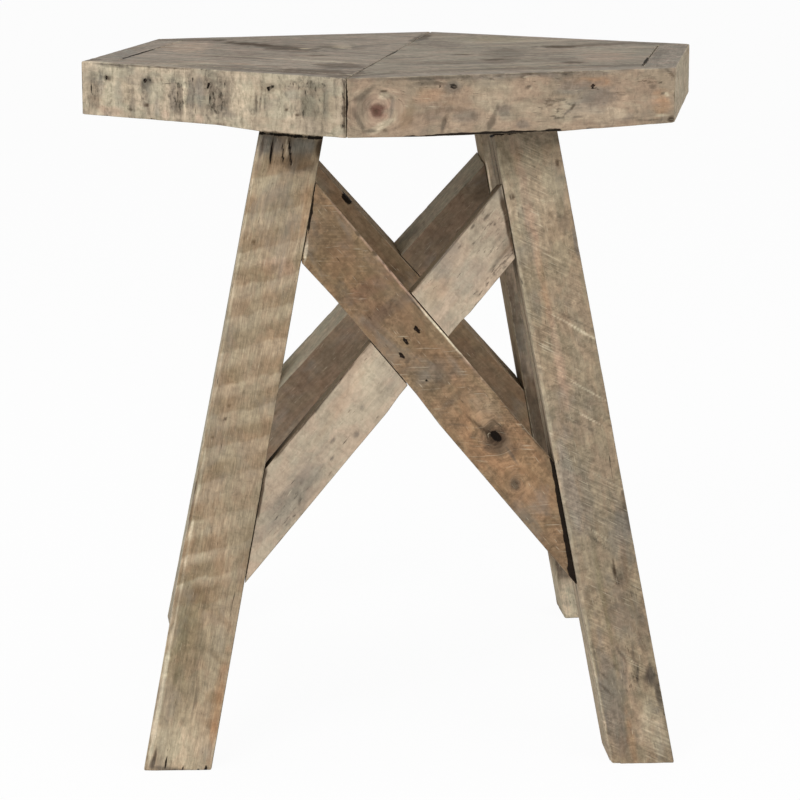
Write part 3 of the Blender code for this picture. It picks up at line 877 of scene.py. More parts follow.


# Marks: along a board from its left end, a leg from its top and a brace from its crossing

PLAN_MARKS = marks(
    "plan", "umber", (-100, -85, 40, 42, 20), "shade", (33, -80, 40, 44, 22), (100, -80, 36, 42, 10),
    "umber", (-100, 0, 38, 44, 24), "shade", (-33, 0, 38, 44, 16), (33, 0, 38, 44, 13),
    "umber", (100, 0, 40, 44, 25), "light", (170, 0, 32, 44, 8), "umber", (100, 80, 40, 42, 18),
    "shade", (168, 80, 34, 42, 16), (-33, 160, 38, 42, 18), "light", (-168, 150, 40, 42, 12),
    (100, 160, 38, 42, 9), "umber", (-100, -160, 38, 42, 12), "light", (100, -160, 40, 42, 9),
    "shade", (168, 150, 34, 42, 10), "umber", (-105, 170, 115, 20, 40, 41), (75, 172, 120, 15, 38, -19),
    "shade", (-28, -62, 62, 10, 55, -55), "umber", (78, 50, 90, 14, 30, 95), (55, 100, 42, 16, 30, -19),
    (-128, 48, 42, 9, 50, 35), "shade", (-10, 60, 40, 6, 40, -19), "pink", (-165, -70, 20, 60, 25),
    (155, 50, 18, 60, 20, 10), "light", (-60, 90, 60, 8, 15, 41), (100, -120, 70, 9, 15, -19),
    "umber", (-163, -153, 32, 16, 75), (-103, -78, 62, 15, 95, 55), "dark", (-112, -92, 34, 8, 70, 55),
    "umber", (-84, -38, 22, 16, 85, 30), "shade", (-78, -12, 12, 10, 60), "umber", (-53, -60, 9, 20, 60),
    "light", (-72, -44, 4, 6, 60), (-42, -68, 8, 24, 35), "shade", (-105, 135, 24, 10, 55),
    "umber", (-62, 30, 9, 9, 80), (-48, 138, 20, 28, 75), (-68, 190, 34, 22, 75, 30),
    (-50, 232, 12, 14, 60), "light", (-160, 110, 24, 12, 20), (-165, -60, 18, 60, 12),
    "shade", (40, -95, 16, 44, 65), "olive", (85, -150, 28, 42, 30), "umber", (165, -78, 54, 15, 65, -29),
    (133, -56, 20, 17, 95), "dark", (132, -54, 10, 9, 60), "shade", (210, -88, 18, 22, 70),
    "umber", (46, 28, 10, 9, 75), (67, 80, 10, 9, 85), (124, 110, 10, 11, 90),
    "shade", (118, 75, 11, 16, 55), (85, 20, 12, 50, 35), (130, 142, 36, 8, 60, -12), (30, 120, 40, 12, 30),
    "blue", (-210, 0, 10, 60, 40), "umber", (-233, 66, 9, 10, 60), "shade", (200, 30, 80, 5, 50, 101),
    "umber", (27, -170, 66, 7, 85, 100),
    "black", (-5, 10, 50, 1.6, 75, 100), (-30, 155, 70, 1.4, 60, 100), (-199, 0, 62, 1.8, 95, 101),
    (180.8, 94, 50, 1.5, 95, 101),
)

FRONT_LEFT_MARKS = marks(
    "outer", "light", (141, 28, 15, 9, 10), (112, 29, 15, 9, 6), (22, 20, 19, 24, 30), (52, 27, 15, 10, 12),
    (83, 20, 15, 24, 13), "shade", (113, 10, 16, 10, 14), "light", (112, 29, 15, 9, 10),
    "shade", (141, 10, 14, 10, 12), (170, 9, 14, 9, 12), (201, 28, 15, 9, 12), "grey", (231, 9, 15, 9, 12),
    "upper", "cream", (15, 2, 17, 5, 75), "outer", (16, 3, 14, 3, 40), "shade", (128, 22, 24, 24, 30),
    (98, 22, 8, 20, 22), "light", (156, 26, 9, 20, 30), (196, 30, 14, 12, 30),
    "grey", (225, 20, 12, 24, 30), "olive", (44, 24, 10, 16, 12), "umber", (32, 1, 18, 2.6, 90),
    (75, 0.4, 42, 1.2, 80), "cream", (25, 3, 14, 1.6, 30), "umber", (12, 21, 6, 15, 50),
    "grey", (20, 15, 3, 9, 50), (38, 22, 4, 13, 40), "shade", (52, 30, 3, 8, 50), (66, 24, 5, 14, 40),
    "grey", (76, 30, 3, 8, 50), "shade", (92, 20, 3.5, 17, 55), "umber", (99, 24, 3.5, 15, 50),
    "light", (103.5, 20, 1.4, 17, 80), "shade", (110, 20, 4, 17, 65), "grey", (118, 16, 4, 14, 65),
    "umber", (131, 20, 4, 18, 40), (138, 22, 4, 17, 50), (145, 20, 3.5, 15, 50),
    "light", (160, 20, 12, 16, 40), "umber", (172, 22, 1.2, 8, 80), (176, 20, 1.1, 8, 70, 8),
    (180, 22, 1.0, 6, 50, 4), "light", (197, 17, 11, 3, 50, 25), "grey", (204, 14, 7, 6, 40),
    "umber", (216, 20, 3, 17, 45), "shade", (224, 18, 4, 17, 50), "grey", (236, 20, 3, 14, 50),
    "olive", (230, 20, 16, 18, 25), "dark", (253, 20, 2.2, 20, 80), (27, 11, 3, 1.6, 85, 10),
    "umber", (28, 11, 5, 3, 40), (66, 12, 7, 5, 70, -14), (185, 11, 6, 4, 40),
    "dark", (200, 25, 2, 1.2, 90), (210, 28, 2, 1.2, 90), (66, 29, 2.5, 1.2, 80), (50, 33, 2, 1.2, 70),
    "pink", (30, 36, 11, 4, 45), (85, 36, 6, 4, 35), (117, 36, 5, 4, 35),
    "black", (14, 24, 9, 13, 34), (97, 20, 11, 18, 42), (60, 24, 6, 14, 32), (134, 21, 12, 18, 42),
    (175, 22, 7, 10, 34), (220, 6, 24, 5, 40), (228, 22, 14, 16, 33), (251, 20, 3, 20, 44),
    (67, 10.6, 5.5, 2.4, 50, -14), (130, 12, 4, 1.6, 50, -15), (125, 14, 3, 1.4, 56, -10),
    (185, 10.6, 4.2, 2.0, 52, -25), (128, 20, 1.0, 4, 70), (112, 8, 0.9, 4, 70), (114, 30, 0.9, 4, 65),
    (142, 12, 0.9, 5, 70), (217, 12, 0.9, 4, 65), (215, 27, 0.9, 4, 65), (10, 18, 0.9, 6, 60),
)

FRONT_RIGHT_MARKS = marks(
    "outer", "umber", (50, 14, 16, 16, 12), "light", (81, 27, 15, 10, 10), (111, 18, 17, 22, 18),
    (141, 28, 15, 9, 12), "umber", (171, 10, 16, 9, 26), "light", (171, 28, 16, 9, 33),
    "umber", (201, 10, 15, 9, 10), (231, 10, 16, 10, 13), "pink", (23, 23, 12, 12, 40),
    "umber", (13, 20, 6, 10, 45, 15), (14, 11, 9, 2.6, 60, -35), (10, 31, 2, 9, 60, -30),
    (30, 13, 8, 2.0, 40, 30), "shade", (34, 22, 2, 8, 50, 10), "light", (26, 34, 10, 2.6, 50, -25),
    (28, 13, 4, 2, 40), "plum", (23, 23.5, 6.5, 5, 95), "dark", (22, 24, 3, 2, 50),
    "umber", (18, 37, 4, 1.2, 70), "dark", (29, 37, 2, 1.2, 60), (28, 10, 2.6, 0.9, 90),
    "shade", (80, 8, 6, 4.5, 70), "tan", (45, 29, 10, 5, 40, -65), "orange", (62, 14, 10, 5, 25),
    "umber", (60, 5.5, 14, 1.4, 60), "shade", (66, 26, 8, 7, 35), "umber", (73, 34, 7, 2.2, 75, 106),
    "shade", (77, 24, 4, 3, 60), "umber", (110, 33, 9, 2.6, 70, 112), (114, 24, 3, 1.6, 60, 100),
    "shade", (90, 29, 12, 6, 55), (119, 27, 6, 5, 65, -20), (134, 36, 5, 4, 60),
    "umber", (138, 10, 3, 1.2, 80, -15), "light", (140, 10.6, 2, 0.7, 70), "umber", (150, 21, 10, 1.2, 40),
    "orange", (189, 8.5, 13, 3.5, 50), "shade", (188, 19, 16, 8, 65), "grey", (172, 12, 12, 5, 40),
    "umber", (162, 33, 6, 0.8, 80, 6), "dark", (172, 26, 3.4, 0.8, 80, -50),
    "umber", (167, 30, 3.4, 0.7, 80, -40), (176, 33, 4, 0.6, 70), "dark", (155, 24, 3, 0.6, 80),
    "umber", (157, 35, 5, 0.6, 80), (163, 20, 5, 0.6, 60, 4), (134, 18, 6, 0.6, 50), (66, 35, 9, 0.6, 60),
    (88, 36, 6, 0.6, 60), (215, 35, 9, 0.6, 50), (232, 37, 9, 0.6, 60), (205, 17, 6, 0.6, 50),
    "dark", (141, 19, 4, 0.6, 70), "light", (202, 32, 14, 6, 35), "umber", (212, 18, 3, 1, 60),
    "orange", (243, 28, 8, 9, 45), "light", (247, 19, 2.2, 1.0, 60, 20), "umber", (244, 18.5, 1.4, 1.1, 80),
    "light", (243, 34, 7, 1, 70), "umber", (235, 13, 3, 1.2, 60), "dark", (251, 37, 3.5, 2.6, 90),
    (250, 4, 5, 1.0, 60, 40), "shade", (125, 1, 120, 3, 50), "umber", (60, 2, 30, 1.2, 60),
    (150, 1, 40, 1.0, 60),
    "black", (0.2, 20, 1.1, 24, 90), (80, 7.6, 3.4, 1.8, 56, 15), (70, 8, 1.4, 1.1, 60),
    (189, 13, 4.5, 1.3, 54), (192, 14, 2, 1.2, 55), (158, 27, 24, 9, 37), (235, 9, 16, 5, 38),
    # The last black mark, a line along the lower edge, is painted shade under the board where the legs run
    # up behind it.
    (120, 3, 80, 3, 33), (100, 42.2, 64, 1.7, 100),
)

FRONT_LEFT_LEG_MARKS = marks(
    "outer", "light", (40, 13, 22, 11, 15), "shade", (120, 12, 26, 11, 14), (220, 11, 42, 10, 8),
    "light", (320, 12, 22, 12, 17), "umber", (400, 12, 20, 11, 9), "shade", (270, 33, 44, 11, 9),
    "umber", (-2, 23, 4, 26, 50), "blue", (3, 8, 7, 12, 70), "dark", (9, 11.5, 14, 1.3, 90, 4),
    (4, 24, 11, 1.5, 90, 14), "light", (4, 21.8, 9, 0.9, 70, 12), "grey", (3, 32, 8, 9, 70),
    "dark", (6, 4, 8, 1.0, 60), "tan", (375, 17, 60, 13, 30), "umber", (365, 10, 40, 3, 30),
    (385, 22, 30, 2, 30), (415, 26, 16, 0.8, 50), (335, 20, 12, 1.2, 60), "tan", (350, 35, 3, 8, 40, -30),
    (378, 36, 3, 8, 40, -30), (408, 38, 4, 8, 45, -20), (428, 40, 4, 7, 45, -20),
    "umber", (466, 24, 2.2, 24, 80), "grey", (2, 34, 6, 9, 60), "dark", (14, 33, 6, 12, 60),
    (0, 45, 7, 3, 90), "orange", (45, 44, 16, 2.5, 35), "pink", (90, 30, 5, 15, 40),
    "dark", (75, 10, 1.6, 1.2, 90), (205, 12, 1.6, 1.2, 90), (195, 13, 1.6, 1.2, 80),
    (220, 5, 1.6, 1.2, 80), "olive", (360, 10, 42, 11, 45), "orange", (405, 42, 35, 4, 35),
    "light", (447, 20, 16, 26, 30), "dark", (459, 4, 8, 1.0, 90), "umber", (464, 3, 5, 2.2, 80),
    # The light and cream lines along the left edge are a painted highlight on the arris.
    "light", (100, 1.6, 130, 0.9, 50), (300, 1.5, 80, 0.9, 70), "cream", (425, 0.5, 52, 1.7, 65),
    "orange", (420, 43, 30, 2.4, 40), "dark", (258, -1.2, 6, 1.2, 90), "shade", (275, -1.0, 14, 0.8, 80),
    # The first black mark, across the top end, is painted shade under the border.
    "black", (-5.2, 23, 1.1, 60, 85, 5.6), (8, 11.3, 12, 1.0, 75, 4), (5, 24.2, 10, 1.0, 75, 14),
    (8, 19.6, 8, 0.9, 70, 10), (461, 12.5, 6, 0.9, 75), (461, 16, 5, 0.7, 60), (464, 25, 4, 0.8, 90),
    (465, 37, 3, 0.8, 80), (463, 42, 4, 1.2, 80),
)

FRONT_RIGHT_LEG_MARKS = marks(
    # The stripes here and the light patch further down on the upper side are painted light and shade on the
    # inner side, which lies in shade under the top.
    "upper", "light", (230, 6, 210, 4, 35), "umber", (240, 17, 200, 4, 40), "light", (230, 30, 200, 6, 25),
    # The first light patch on the outer side, at the top, is painted light: it lifts the border's shadow
    # and the darker marks there.
    "outer", (40, 22, 26, 30, 26), (80, 12, 22, 14, 14), "shade", (150, 34, 44, 12, 14),
    (205, 22, 24, 30, 20), (280, 22, 66, 30, 15), "umber", (360, 33, 22, 14, 30),
    # The last light mark, a line down the left edge, is a painted highlight on the arris.
    "upper", (20, 22, 28, 4, 60), "outer", "grey", (8, 25, 8, 24, 20), "light", (230, 1.5, 235, 1.6, 22),
    "pink", (60, 15, 50, 4, 35), "orange", (110, 16, 40, 3, 22), "pink", (170, 17, 45, 4, 30),
    "umber", (45, 38, 28, 6, 20), (70, 38, 8, 5, 40), "dark", (28, 42, 3, 1.6, 80), (46, 5, 2, 2.2, 75, 20),
    "shade", (88, 45, 12, 2.2, 80), (125, 8, 12, 4, 40), "grey", (265, 8, 45, 6, 55),
    "shade", (270, 18, 30, 5, 35), "blue", (420, 9, 45, 8, 40), "shade", (300, 40, 26, 5, 50),
    "umber", (288, 45, 14, 2.6, 80), (380, 41, 18, 6, 40), (411, 41, 9, 5, 100), (426, 44.5, 13, 3.0, 90),
    "light", (145, 30, 18, 0.6, 60, 50), "umber", (142, 33, 20, 0.7, 50, 53),
    "light", (152, 37, 11, 0.5, 50, 52), (195, 34, 17, 0.6, 55, 50), "umber", (206, 30, 15, 0.7, 45, 55),
    "light", (216, 32, 15, 0.6, 55, 50), "umber", (222, 29, 14, 0.7, 50, 52),
    "light", (262, 35, 16, 0.7, 30, 50), "umber", (305, 20, 20, 0.7, 50, 45),
    "light", (300, 22, 14, 0.7, 30, 45), (392, 25, 14, 0.7, 35, 40), "umber", (398, 15, 12, 0.8, 45, 40),
    "dark", (415, 7, 10, 1.1, 75, 36), "umber", (404, 7, 8, 1.0, 60, 36), "dark", (390, 22, 7, 1.1, 75, 25),
    "umber", (406, 32, 7, 1.1, 90, -10), (430, 10, 34, 8, 22), "olive", (360, 17, 46, 2, 35),
    # The cream and shade lines at the left edge are a painted highlight on the arris with painted shade
    # beside it.
    "orange", (452, 18, 18, 2.4, 35), "cream", (415, 0.6, 50, 1.2, 40), "shade", (415, 3.0, 46, 1.0, 55),
    # The first mark here, a light patch on the upper side, is painted light.
    "upper", "light", (410, 20, 55, 26, 30), "outer", "dark", (333, 29, 9, 1.2, 100, 6),
    "umber", (334, 33, 9, 5, 60), "dark", (326, 29, 8, 0.9, 70), "umber", (395, 31, 13, 1.0, 60, -4),
    (437, 40, 3.6, 3.4, 95), (449, 40, 2.6, 2.6, 70), "light", (447, 36, 20, 9, 35),
    "pink", (400, 25, 50, 3, 12),
    # The first two black marks, along the top end on the outer and upper sides, are painted shade under the
    # border.
    "black", (0.6, 23, 1.4, 60, 100, -5.6), "upper", (-0.4, 10, 1.4, 40, 90), "outer", (411, 25, 16, 8, 38),
    (345, 38, 22, 8, 34),
)

FALLING_MARKS = marks(
    "outer", "umber", (-106, 9, 17, 11, 13), (-75, -9, 18, 11, 15), "light", (138, 9, 17, 10, 8),
    "umber", (-15, 0, 18, 26, 12), (30, 9, 32, 10, 13), "light", (75, -9, 17, 11, 12),
    # The pink and cream lines at about -21.5 across are a painted highlight on the upper arris.
    "brown", (-70, 8, 30, 14, 12), "pink", (-45, -21.5, 70, 1.3, 75), "dark", (-83, -21, 2.8, 1.5, 100),
    (-64, -21, 2.5, 1.4, 100), (105, -21.5, 30, 1.0, 80), "cream", (8, -21.4, 26, 1.2, 85, -2),
    "dark", (-18, -20, 12, 0.8, 80), "tan", (-85, -2, 50, 26, 50), "plum", (-90, -6, 20, 14, 10),
    (-48, 0, 7, 24, 35, 8), "umber", (-27, 0, 6, 24, 45, 6), "plum", (-33, 6, 12, 12, 20),
    "umber", (38, 2, 5, 12, 40), "shade", (30, 2, 8, 12, 45), "umber", (54, 6, 3, 14, 30),
    "tan", (5, 1, 12, 14, 20), "orange", (115, 2, 55, 20, 30), "umber", (96, -2, 17, 10, 70),
    "dark", (95, -2, 10, 7.5, 85), (84, 2, 13, 1.4, 80, -10), "umber", (112, -2, 10, 1.2, 70, 5),
    (131, 10, 5, 4.2, 75), "dark", (131, 9, 2, 1.4, 60), "umber", (70, 14, 8, 1.2, 40, -45),
    "cream", (-98, 15, 10, 1.1, 60, 48),
    "black", (-2, -9, 4.2, 1.3, 100, 10), (-1, 3, 4.0, 1.3, 100, 5), (5.5, 11.8, 3.6, 1.5, 100),
    # The three long black lines near 175 along are painted shade in the gap at the right leg.
    (31, 10, 1.3, 1.1, 90), (95, -2, 6.0, 4.4, 100), (176.2, 0, 90, 1.7, 100, 29.7),
    (175.2, 1.2, 90, 1.5, 100, 29.7), (174.2, 1.0, 90, 1.5, 100, 30.6), (210, 21, 6, 3.2, 100, 29.7),
    (-117, -6, 19, 1.1, 85, 48),
)

RISING_MARKS = marks(
    # The dark lines at -20 across are painted shade along the upper arris.
    "outer", "umber", (97, -9, 17, 10, 14), "light", (-135, -8, 36, 10, 9), "dark", (-80, -20, 56, 1.4, 85),
    (75, -20, 48, 1.2, 70), "grey", (-145, 8, 34, 12, 36), "shade", (-132, 8, 26, 9, 30),
    "umber", (-145, 2, 3, 2, 40, 40), (-130, 6, 3, 2, 40, -40), (-142, 14, 4, 1.4, 50, -30),
    "shade", (-103, 12, 2.6, 1.4, 80), (-92, 4, 2.2, 1.2, 80), (-78, 15, 3, 2, 70), (-60, 5, 2, 1.4, 60),
    "cream", (-40, -8, 14, 8, 25), "orange", (40, -8, 14, 8, 18), "blue", (62, 5, 20, 10, 22),
    # The first umber patch here is a painted shadow cast by the right leg.
    "umber", (102, 12, 12, 9, 40), (85, 13, 15, 1.2, 50), (75, -15, 2.5, 1.0, 70), (92, -17, 3, 1.0, 70),
    (104, -14, 3, 1.0, 70), "dark", (111, 0, 29, 1.9, 95, -53), (-152, -13, 24, 1.5, 90, -30),
    "black", (98, -2, 30, 17, 35), (80, 17, 34, 4, 40), (-150, 12, 34, 12, 33),
)

REAR_FALLING_MARKS = marks(
    "inner", "umber", (-57, 0, 26, 26, 15), (60, 0, 30, 26, 12), "dark", (-10, 0, 12, 24, 50, -30),
    "umber", (110, 0, 50, 24, 35), "light", (-120, 0, 20, 24, 15),
    "black", (-90, -22, 8.5, 4.5, 100), "upper", (-90, 40, 9, 8, 100),
)

REAR_RISING_MARKS = marks(
    "inner", "umber", (92, 0, 66, 30, 33), (-95, 0, 55, 25, 25), "dark", (120, -6, 22, 12, 50),
)

REAR_RIGHT_LEG_MARKS = marks(
    "inner", "light", (170, 16, 110, 3, 30), (200, 7, 60, 2, 25), (45, 12, 26, 12, 30),
    # The cream line at 60 along is painted light: the bright backdrop showing through the gap at the
    # brace's end.
    "umber", (45, 7, 24, 2.4, 50), "cream", (60, 0.8, 17, 1.1, 100), "dark", (280, 6, 55, 12, 75),
    "umber", (190, 4, 45, 6, 60), "grey", (190, 11, 60, 2, 50), "cream", (448, 12, 24, 40, 80),
    "upper", (448, 30, 24, 40, 90), "inner", "umber", (418, 6, 11, 12, 60),
)

# The outer faces are toned lighter than the tops: painted light and shade for the front light, which falls
# more on the faces than on the top.
PALE_TONES = {"all": (146, 130, 108), "outer": (176, 163, 142), "upper": (143, 134, 123)}
WOODS = {
    "border_front_left": Wood(
        11, PALE_TONES, 0.9, 0.9, cross=0.152, mottle=0.85, fuzz=0.35, grit=0.24,
        marks=FRONT_LEFT_MARKS + PLAN_MARKS, chips=(("outer", "upper", 32, 12, 2.0),),
        waves={"lower": ((0, 0), (135, 0), (175, 2), (254, 2))},
    ),
    "border_front_right": Wood(
        23, {**PALE_TONES, "outer": (158, 140, 120)}, 0.9, 0.8, rings=0.1, fuzz=0.5, grit=0.13,
        marks=FRONT_RIGHT_MARKS + PLAN_MARKS, knots=(("outer", 23, 23, 8),),
        waves={"lower": ((0, 2), (60, 3.2), (165, 3.3), (215, 1.6), (254, 0.2))},
        closed=("mitre_nail", *(f"border_nail_front_right_{number}" for number in (1, 2, 3))),
    ),
    "border_right": Wood(31, PALE_TONES, marks=PLAN_MARKS),
    "border_back_right": Wood(37, PALE_TONES, marks=PLAN_MARKS, cross=0.12),
    "border_back_left": Wood(41, PALE_TONES, marks=PLAN_MARKS),
    "border_left": Wood(43, PALE_TONES, marks=PLAN_MARKS, cross=0.1),
    "core_board_left": Wood(
        53, {"all": (146, 136, 124)}, 0.9, 0.5, marks=PLAN_MARKS, fuzz=0.9, streak=2.4, lie=59
    ),
    "core_board_right": Wood(
        59, {"all": (146, 137, 124)}, 0.9, 0.5, marks=PLAN_MARKS, fuzz=0.9, streak=2.4, lie=61
    ),
    "leg_front_left": Wood(
        # The upper side, the left one as the front sees it, is toned light: painted light where the lamp at
        # the front left falls on it.
        61, {"all": (116, 100, 82), "outer": (166, 149, 125), "upper": (196, 182, 158)}, 1.1, 1.2,
        marks=FRONT_LEFT_LEG_MARKS, fuzz=1.4, mottle=0.8, worn=0.3,
        waves={"upper": ((0, 0), (150, 0.3), (230, 1.4), (340, 2.4), (480, 2.5))},
        cuts=((5, 32, 58, 84, 107, 132, 157, 180, 204, 229, 257, 283, 303, 322), 0.52, 2.0, 7.0, 0.62),
    ),
    "leg_front_right": Wood(
        # The upper side, which faces in, is toned light: painted light for the lamp at the front left,
        # which the other pieces shade.
        67, {"all": (120, 104, 86), "outer": (148, 132, 110), "upper": (168, 153, 132)}, 1.1, 1.0,
        marks=FRONT_RIGHT_LEG_MARKS, chips=(("outer", "upper", 460, 12, 3.5),),
        fuzz=0.5, mottle=1.3, worn=0.25, grit=0.17, strokes=(-54, 0.16),
    ),
    "leg_rear_left": Wood(
        # Toned pale all over: painted light, which lifts the shade that falls on this leg behind the front
        # one.
        71, {"all": (180, 170, 150)}, 1.2, 1.0, saw=(0.02, 0.3, 2, 0, 1, 0.6),
        waves={"upper": ((0, 0), (100, -1), (200, -2.4), (350, -3.6), (480, -4))},
    ),
    "leg_rear_right": Wood(
        73, {"all": (150, 134, 115), "upper": (165, 148, 124)}, 1.5, 1.0,
        marks=REAR_RIGHT_LEG_MARKS, saw=(0.014, -0.4, 0, 0, 1, 0.4),
    ),
    "brace_front_falling": Wood(
        79, {"all": (124, 104, 84), "outer": (131, 109, 85)}, 0.8, 1.0,
        marks=FALLING_MARKS, knots=(("outer", 95, -2, 5), ("outer", 131, 9, 3)),
        waves={"lower": ((-140, 1.5), (-95, 1.4), (-60, 0), (34, 0), (60, 1.6), (210, 1.6))},
        fuzz=0.45, mottle=1.3, worn=0.3, grit=0.22, streak=1.4, strokes=(50, 0.13),
    ),
    "brace_front_rising": Wood(
        # The upper side is toned dark: painted shade under the top.
        83, {"all": (134, 118, 100), "outer": (178, 162, 142), "upper": (126, 110, 88)}, 0.8, 0.7,
        waves={"lower": ((-190, 1.2), (-50, 1.2), (-36, 0), (34, 0), (44, 1), (140, 1))},
        marks=RISING_MARKS, fuzz=0.3, mottle=0.7, worn=0.3, strokes=(35, 0.05),
    ),
    "brace_rear_falling": Wood(
        # The upper side is toned lighter: painted light, as it faces up into the light.
        89, {"all": (139, 116, 91), "upper": (164, 143, 118)}, 0.9, 0.9,
        marks=REAR_FALLING_MARKS, fuzz=0.5, saw=(0.011, 0.2, 0, 0, 1.4, 0.3),
    ),
    "brace_rear_rising": Wood(
        # The upper side is toned lighter: painted light, as it faces up into the light.
        97, {"all": (136, 116, 96), "upper": (196, 186, 166)}, 0.9, 0.9,
        marks=REAR_RISING_MARKS, fuzz=0.5, saw=(0.01, 0.2, 0, 0, 1.4, 0.3),
    ),
}


# Loops along, across and through each kind of timber
CELLS = {"border": (230, 38, 16), "core": (250, 120, 10), "leg": (400, 56, 32), "brace": (340, 50, 28)}


def entry_for(name, table):
    """The first entry of a table whose key starts the name."""
    return next(entry for start, entry in table.items() if name.startswith(start))


def lay_out_timbers():
    """Every board, post and brace on its own axes, with its lap where it has one."""
    corners = top_corners()
    timbers, laps = {}, {}
    names = ("front_right", "right", "back_right", "back_left", "left", "front_left")
    for index, name in enumerate(names):
        timbers[f"border_{name}"] = border_timber(corners, index)
    timbers["core_board_left"] = core_timber(corners, True)
    timbers["core_board_right"] = core_timber(corners, False)
    front = Trestle(1, 0, FRONT_SPLAY, FRONT_BRACE_DROPS, corners)
    rear = Trestle(-1, REAR_TRESTLE_TURN, REAR_SPLAY, REAR_BRACE_DROPS, corners)
    for name, trestle in (("front", front), ("rear", rear)):
        timbers[f"leg_{name}_left"] = leg_timber(trestle, -1)
        timbers[f"leg_{name}_right"] = leg_timber(trestle, 1)
        falling = timbers[f"brace_{name}_falling"] = brace_timber(trestle, 1, FALLING_BRACE_WIDTH)
        rising = timbers[f"brace_{name}_rising"] = brace_timber(trestle, -1, RISING_BRACE_WIDTH)
        laps[f"brace_{name}_falling"] = Lap(falling, rising, name == "front")
        laps[f"brace_{name}_rising"] = Lap(rising, falling, name == "rear")
    return timbers, laps


def add_piece(name, mesh, material, replaced):
    """One finished piece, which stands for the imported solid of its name."""
    mesh.name = name
    mesh.materials.append(material)
    piece = put_in_room(name, mesh)
    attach(piece, "root")
    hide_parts(replaced)


def reseat(node, timber, side, move):
    """A copy of a screw that keeps its depth where the side of its leg stands out or lies back."""
    bm = bmesh.new()
    bm.from_mesh(node.data)
    bmesh.ops.remove_doubles(bm, verts=bm.verts, dist=FIT / 100)
    axis, sign = SIDES[side]
    bmesh.ops.translate(bm, verts=bm.verts, vec=timber.axes[axis] * sign * move)
    material = node.material_slots[0].material
    add_piece(f"{node.name}_reseated", into_mesh(bm, "screw"), material, node.name)


def build_timbers():
    """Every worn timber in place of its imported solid, with the screws that its waves move."""
    timbers, laps = lay_out_timbers()
    fasteners = [node for name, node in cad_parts.items() if "screw" in name or "nail" in name]
    for name, timber in timbers.items():
        lap = laps.get(name)
        wood = WOODS[name]
        inlaid = lap is not None and not lap.keeps_outer_half
        seen = [f for f in fasteners if f.name not in wood.closed and not (inlaid and "lap_nail" in f.name)]
        spots = fastener_spots(timber, seen)
        mesh = shape_timber(timber, entry_for(name, CELLS), wood, lap, spots)
        add_piece(f"{name}_worn", mesh, weathered_pine(f"{name}_pine", wood), name)
        for side, centre, _, _, node in spots:
            move = wave_at(wood, side, centre[0])
            if abs(move) > FIT:
                reseat(node, timber, side, move)


def dress_nodes():
    """New finishes for the rails, screws and nails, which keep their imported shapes."""
    rails = {
        "rail_front": plain_wood("front_rail_pine", (104, 86, 66), 0, 1.3),
        "rail_rear": plain_wood("rear_rail_pine", (110, 92, 72), REAR_TRESTLE_TURN, 4.1),
    }
    steel = aged_metal("dull_screw_steel", (120, 116, 108), (88, 66, 48), 0.9, 0.5)
    iron = aged_metal("rusted_nail_iron", (62, 52, 44), (58, 38, 27), 0.5, 0.75)
    for name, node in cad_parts.items():
        material = rails.get(name) or (steel if "screw" in name else iron if "nail" in name else None)
        if material:
            for slot in node.material_slots:
                slot.material = material


# The studio

CAMERA_PLACE = (-0.09725, -2.14876, 0.65953)
CAMERA_PITCH = radians(11.2225)
CAMERA_YAW = radians(2.6215)
CAMERA_LENS = 124.06
CAMERA_SENSOR = 36
FLOOR_REACH = 12
FLOOR_GLOW = 0.95
ROOM_LIGHT = 0.48
WHITE = (1, 1, 1)
LAMP_AIM = Vector((0, 0, 0.3))


def set_camera():
    camera = put_in_room("camera", bpy.data.cameras.new("camera"))
    camera.data.sensor_width = CAMERA_SENSOR
    camera.data.lens = CAMERA_LENS
    camera.location = CAMERA_PLACE
    camera.rotation_euler = (pi / 2 - CAMERA_PITCH, 0, -CAMERA_YAW)
    bpy.context.scene.camera = camera


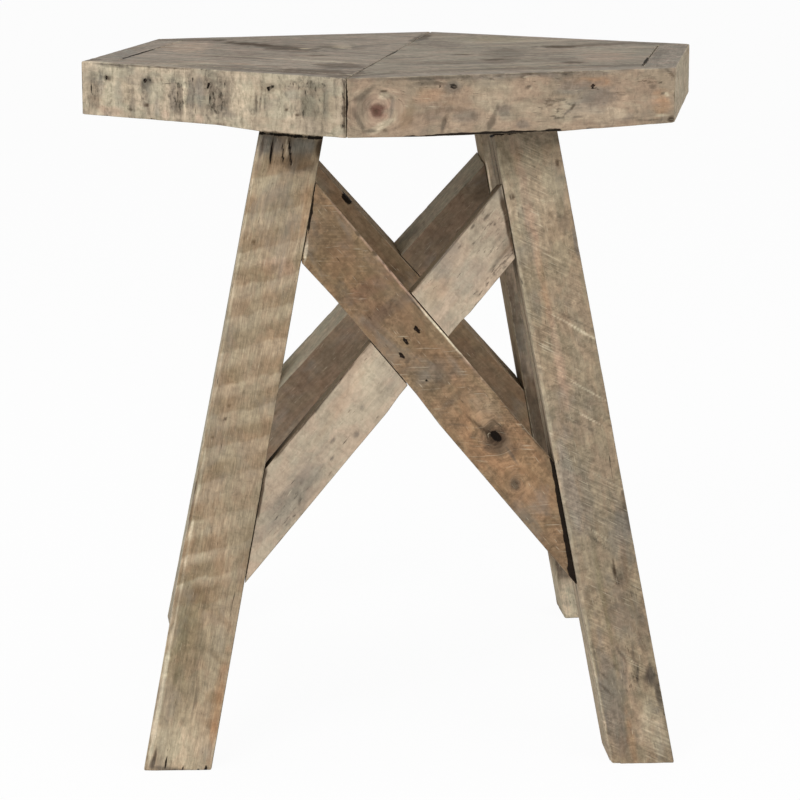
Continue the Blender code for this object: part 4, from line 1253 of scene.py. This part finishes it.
def seen_directly(nodes):
    """1 for what the camera sees, also in metal or through glass, and 0 for the light on the object."""
    seen = nodes.add("ShaderNodeLightPath", None, "Is Camera Ray")
    for kind in ("Is Glossy Ray", "Is Transmission Ray"):
        seen = nodes.maths("MAXIMUM", seen, nodes.add("ShaderNodeLightPath", None, kind))
    return seen


def lay_floor():
    """A wide white floor that shows nearly white to the camera and keeps a soft shadow."""
    bm = bmesh.new()
    bmesh.ops.create_grid(bm, x_segments=1, y_segments=1, size=FLOOR_REACH)
    floor = put_in_room("floor", into_mesh(bm, "floor"))
    look = Finish("white_floor")
    look.set("Base Color", (0.9, 0.9, 0.9))
    look.set("Roughness", 0.9)
    look.set("Specular IOR Level", 0.1)
    lit = Value(look, look.shader.outputs[0])
    glow = look.add("ShaderNodeEmission", {"Color": WHITE, "Strength": 1})
    mixed = look.add("ShaderNodeMixShader", {0: seen_directly(look) * FLOOR_GLOW, 1: lit, 2: glow})
    look.feed(look.tree.nodes["Material Output"].inputs[0], mixed)
    floor.data.materials.append(look.material)


def light_room():
    """White walls all round, and broad lamps high at the front left, at the right and above."""
    world = bpy.data.worlds.new("white_room")
    bpy.context.scene.world = world
    world.use_nodes = True
    nodes = Nodes(world.node_tree)
    light = nodes.tree.nodes["Background"]
    nodes.feed(light.inputs["Color"], WHITE)
    nodes.feed(light.inputs["Strength"], ROOM_LIGHT)
    lit = Value(nodes, light.outputs[0])
    shown = nodes.add("ShaderNodeBackground", {"Color": WHITE, "Strength": 1})
    mixed = nodes.add("ShaderNodeMixShader", {0: seen_directly(nodes), 1: lit, 2: shown})
    nodes.feed(nodes.tree.nodes["World Output"].inputs[0], mixed)
    for name, place, size, power in (
        ("key", (-1.4, -2.6, 2.2), 1.6, 54),
        ("fill", (2.2, -2.2, 1.4), 1.6, 22),
        ("crown", (0, 0.3, 2.8), 1.8, 12),
    ):
        lamp = bpy.data.lights.new(name, "AREA")
        lamp.size = size
        lamp.energy = power
        holder = put_in_room(name, lamp)
        holder.location = place
        holder.rotation_euler = (LAMP_AIM - Vector(place)).to_track_quat("-Z", "Y").to_euler()


set_camera()
lay_floor()
light_room()
dress_nodes()
build_timbers()
bpy.context.scene.view_settings.view_transform = "Standard"
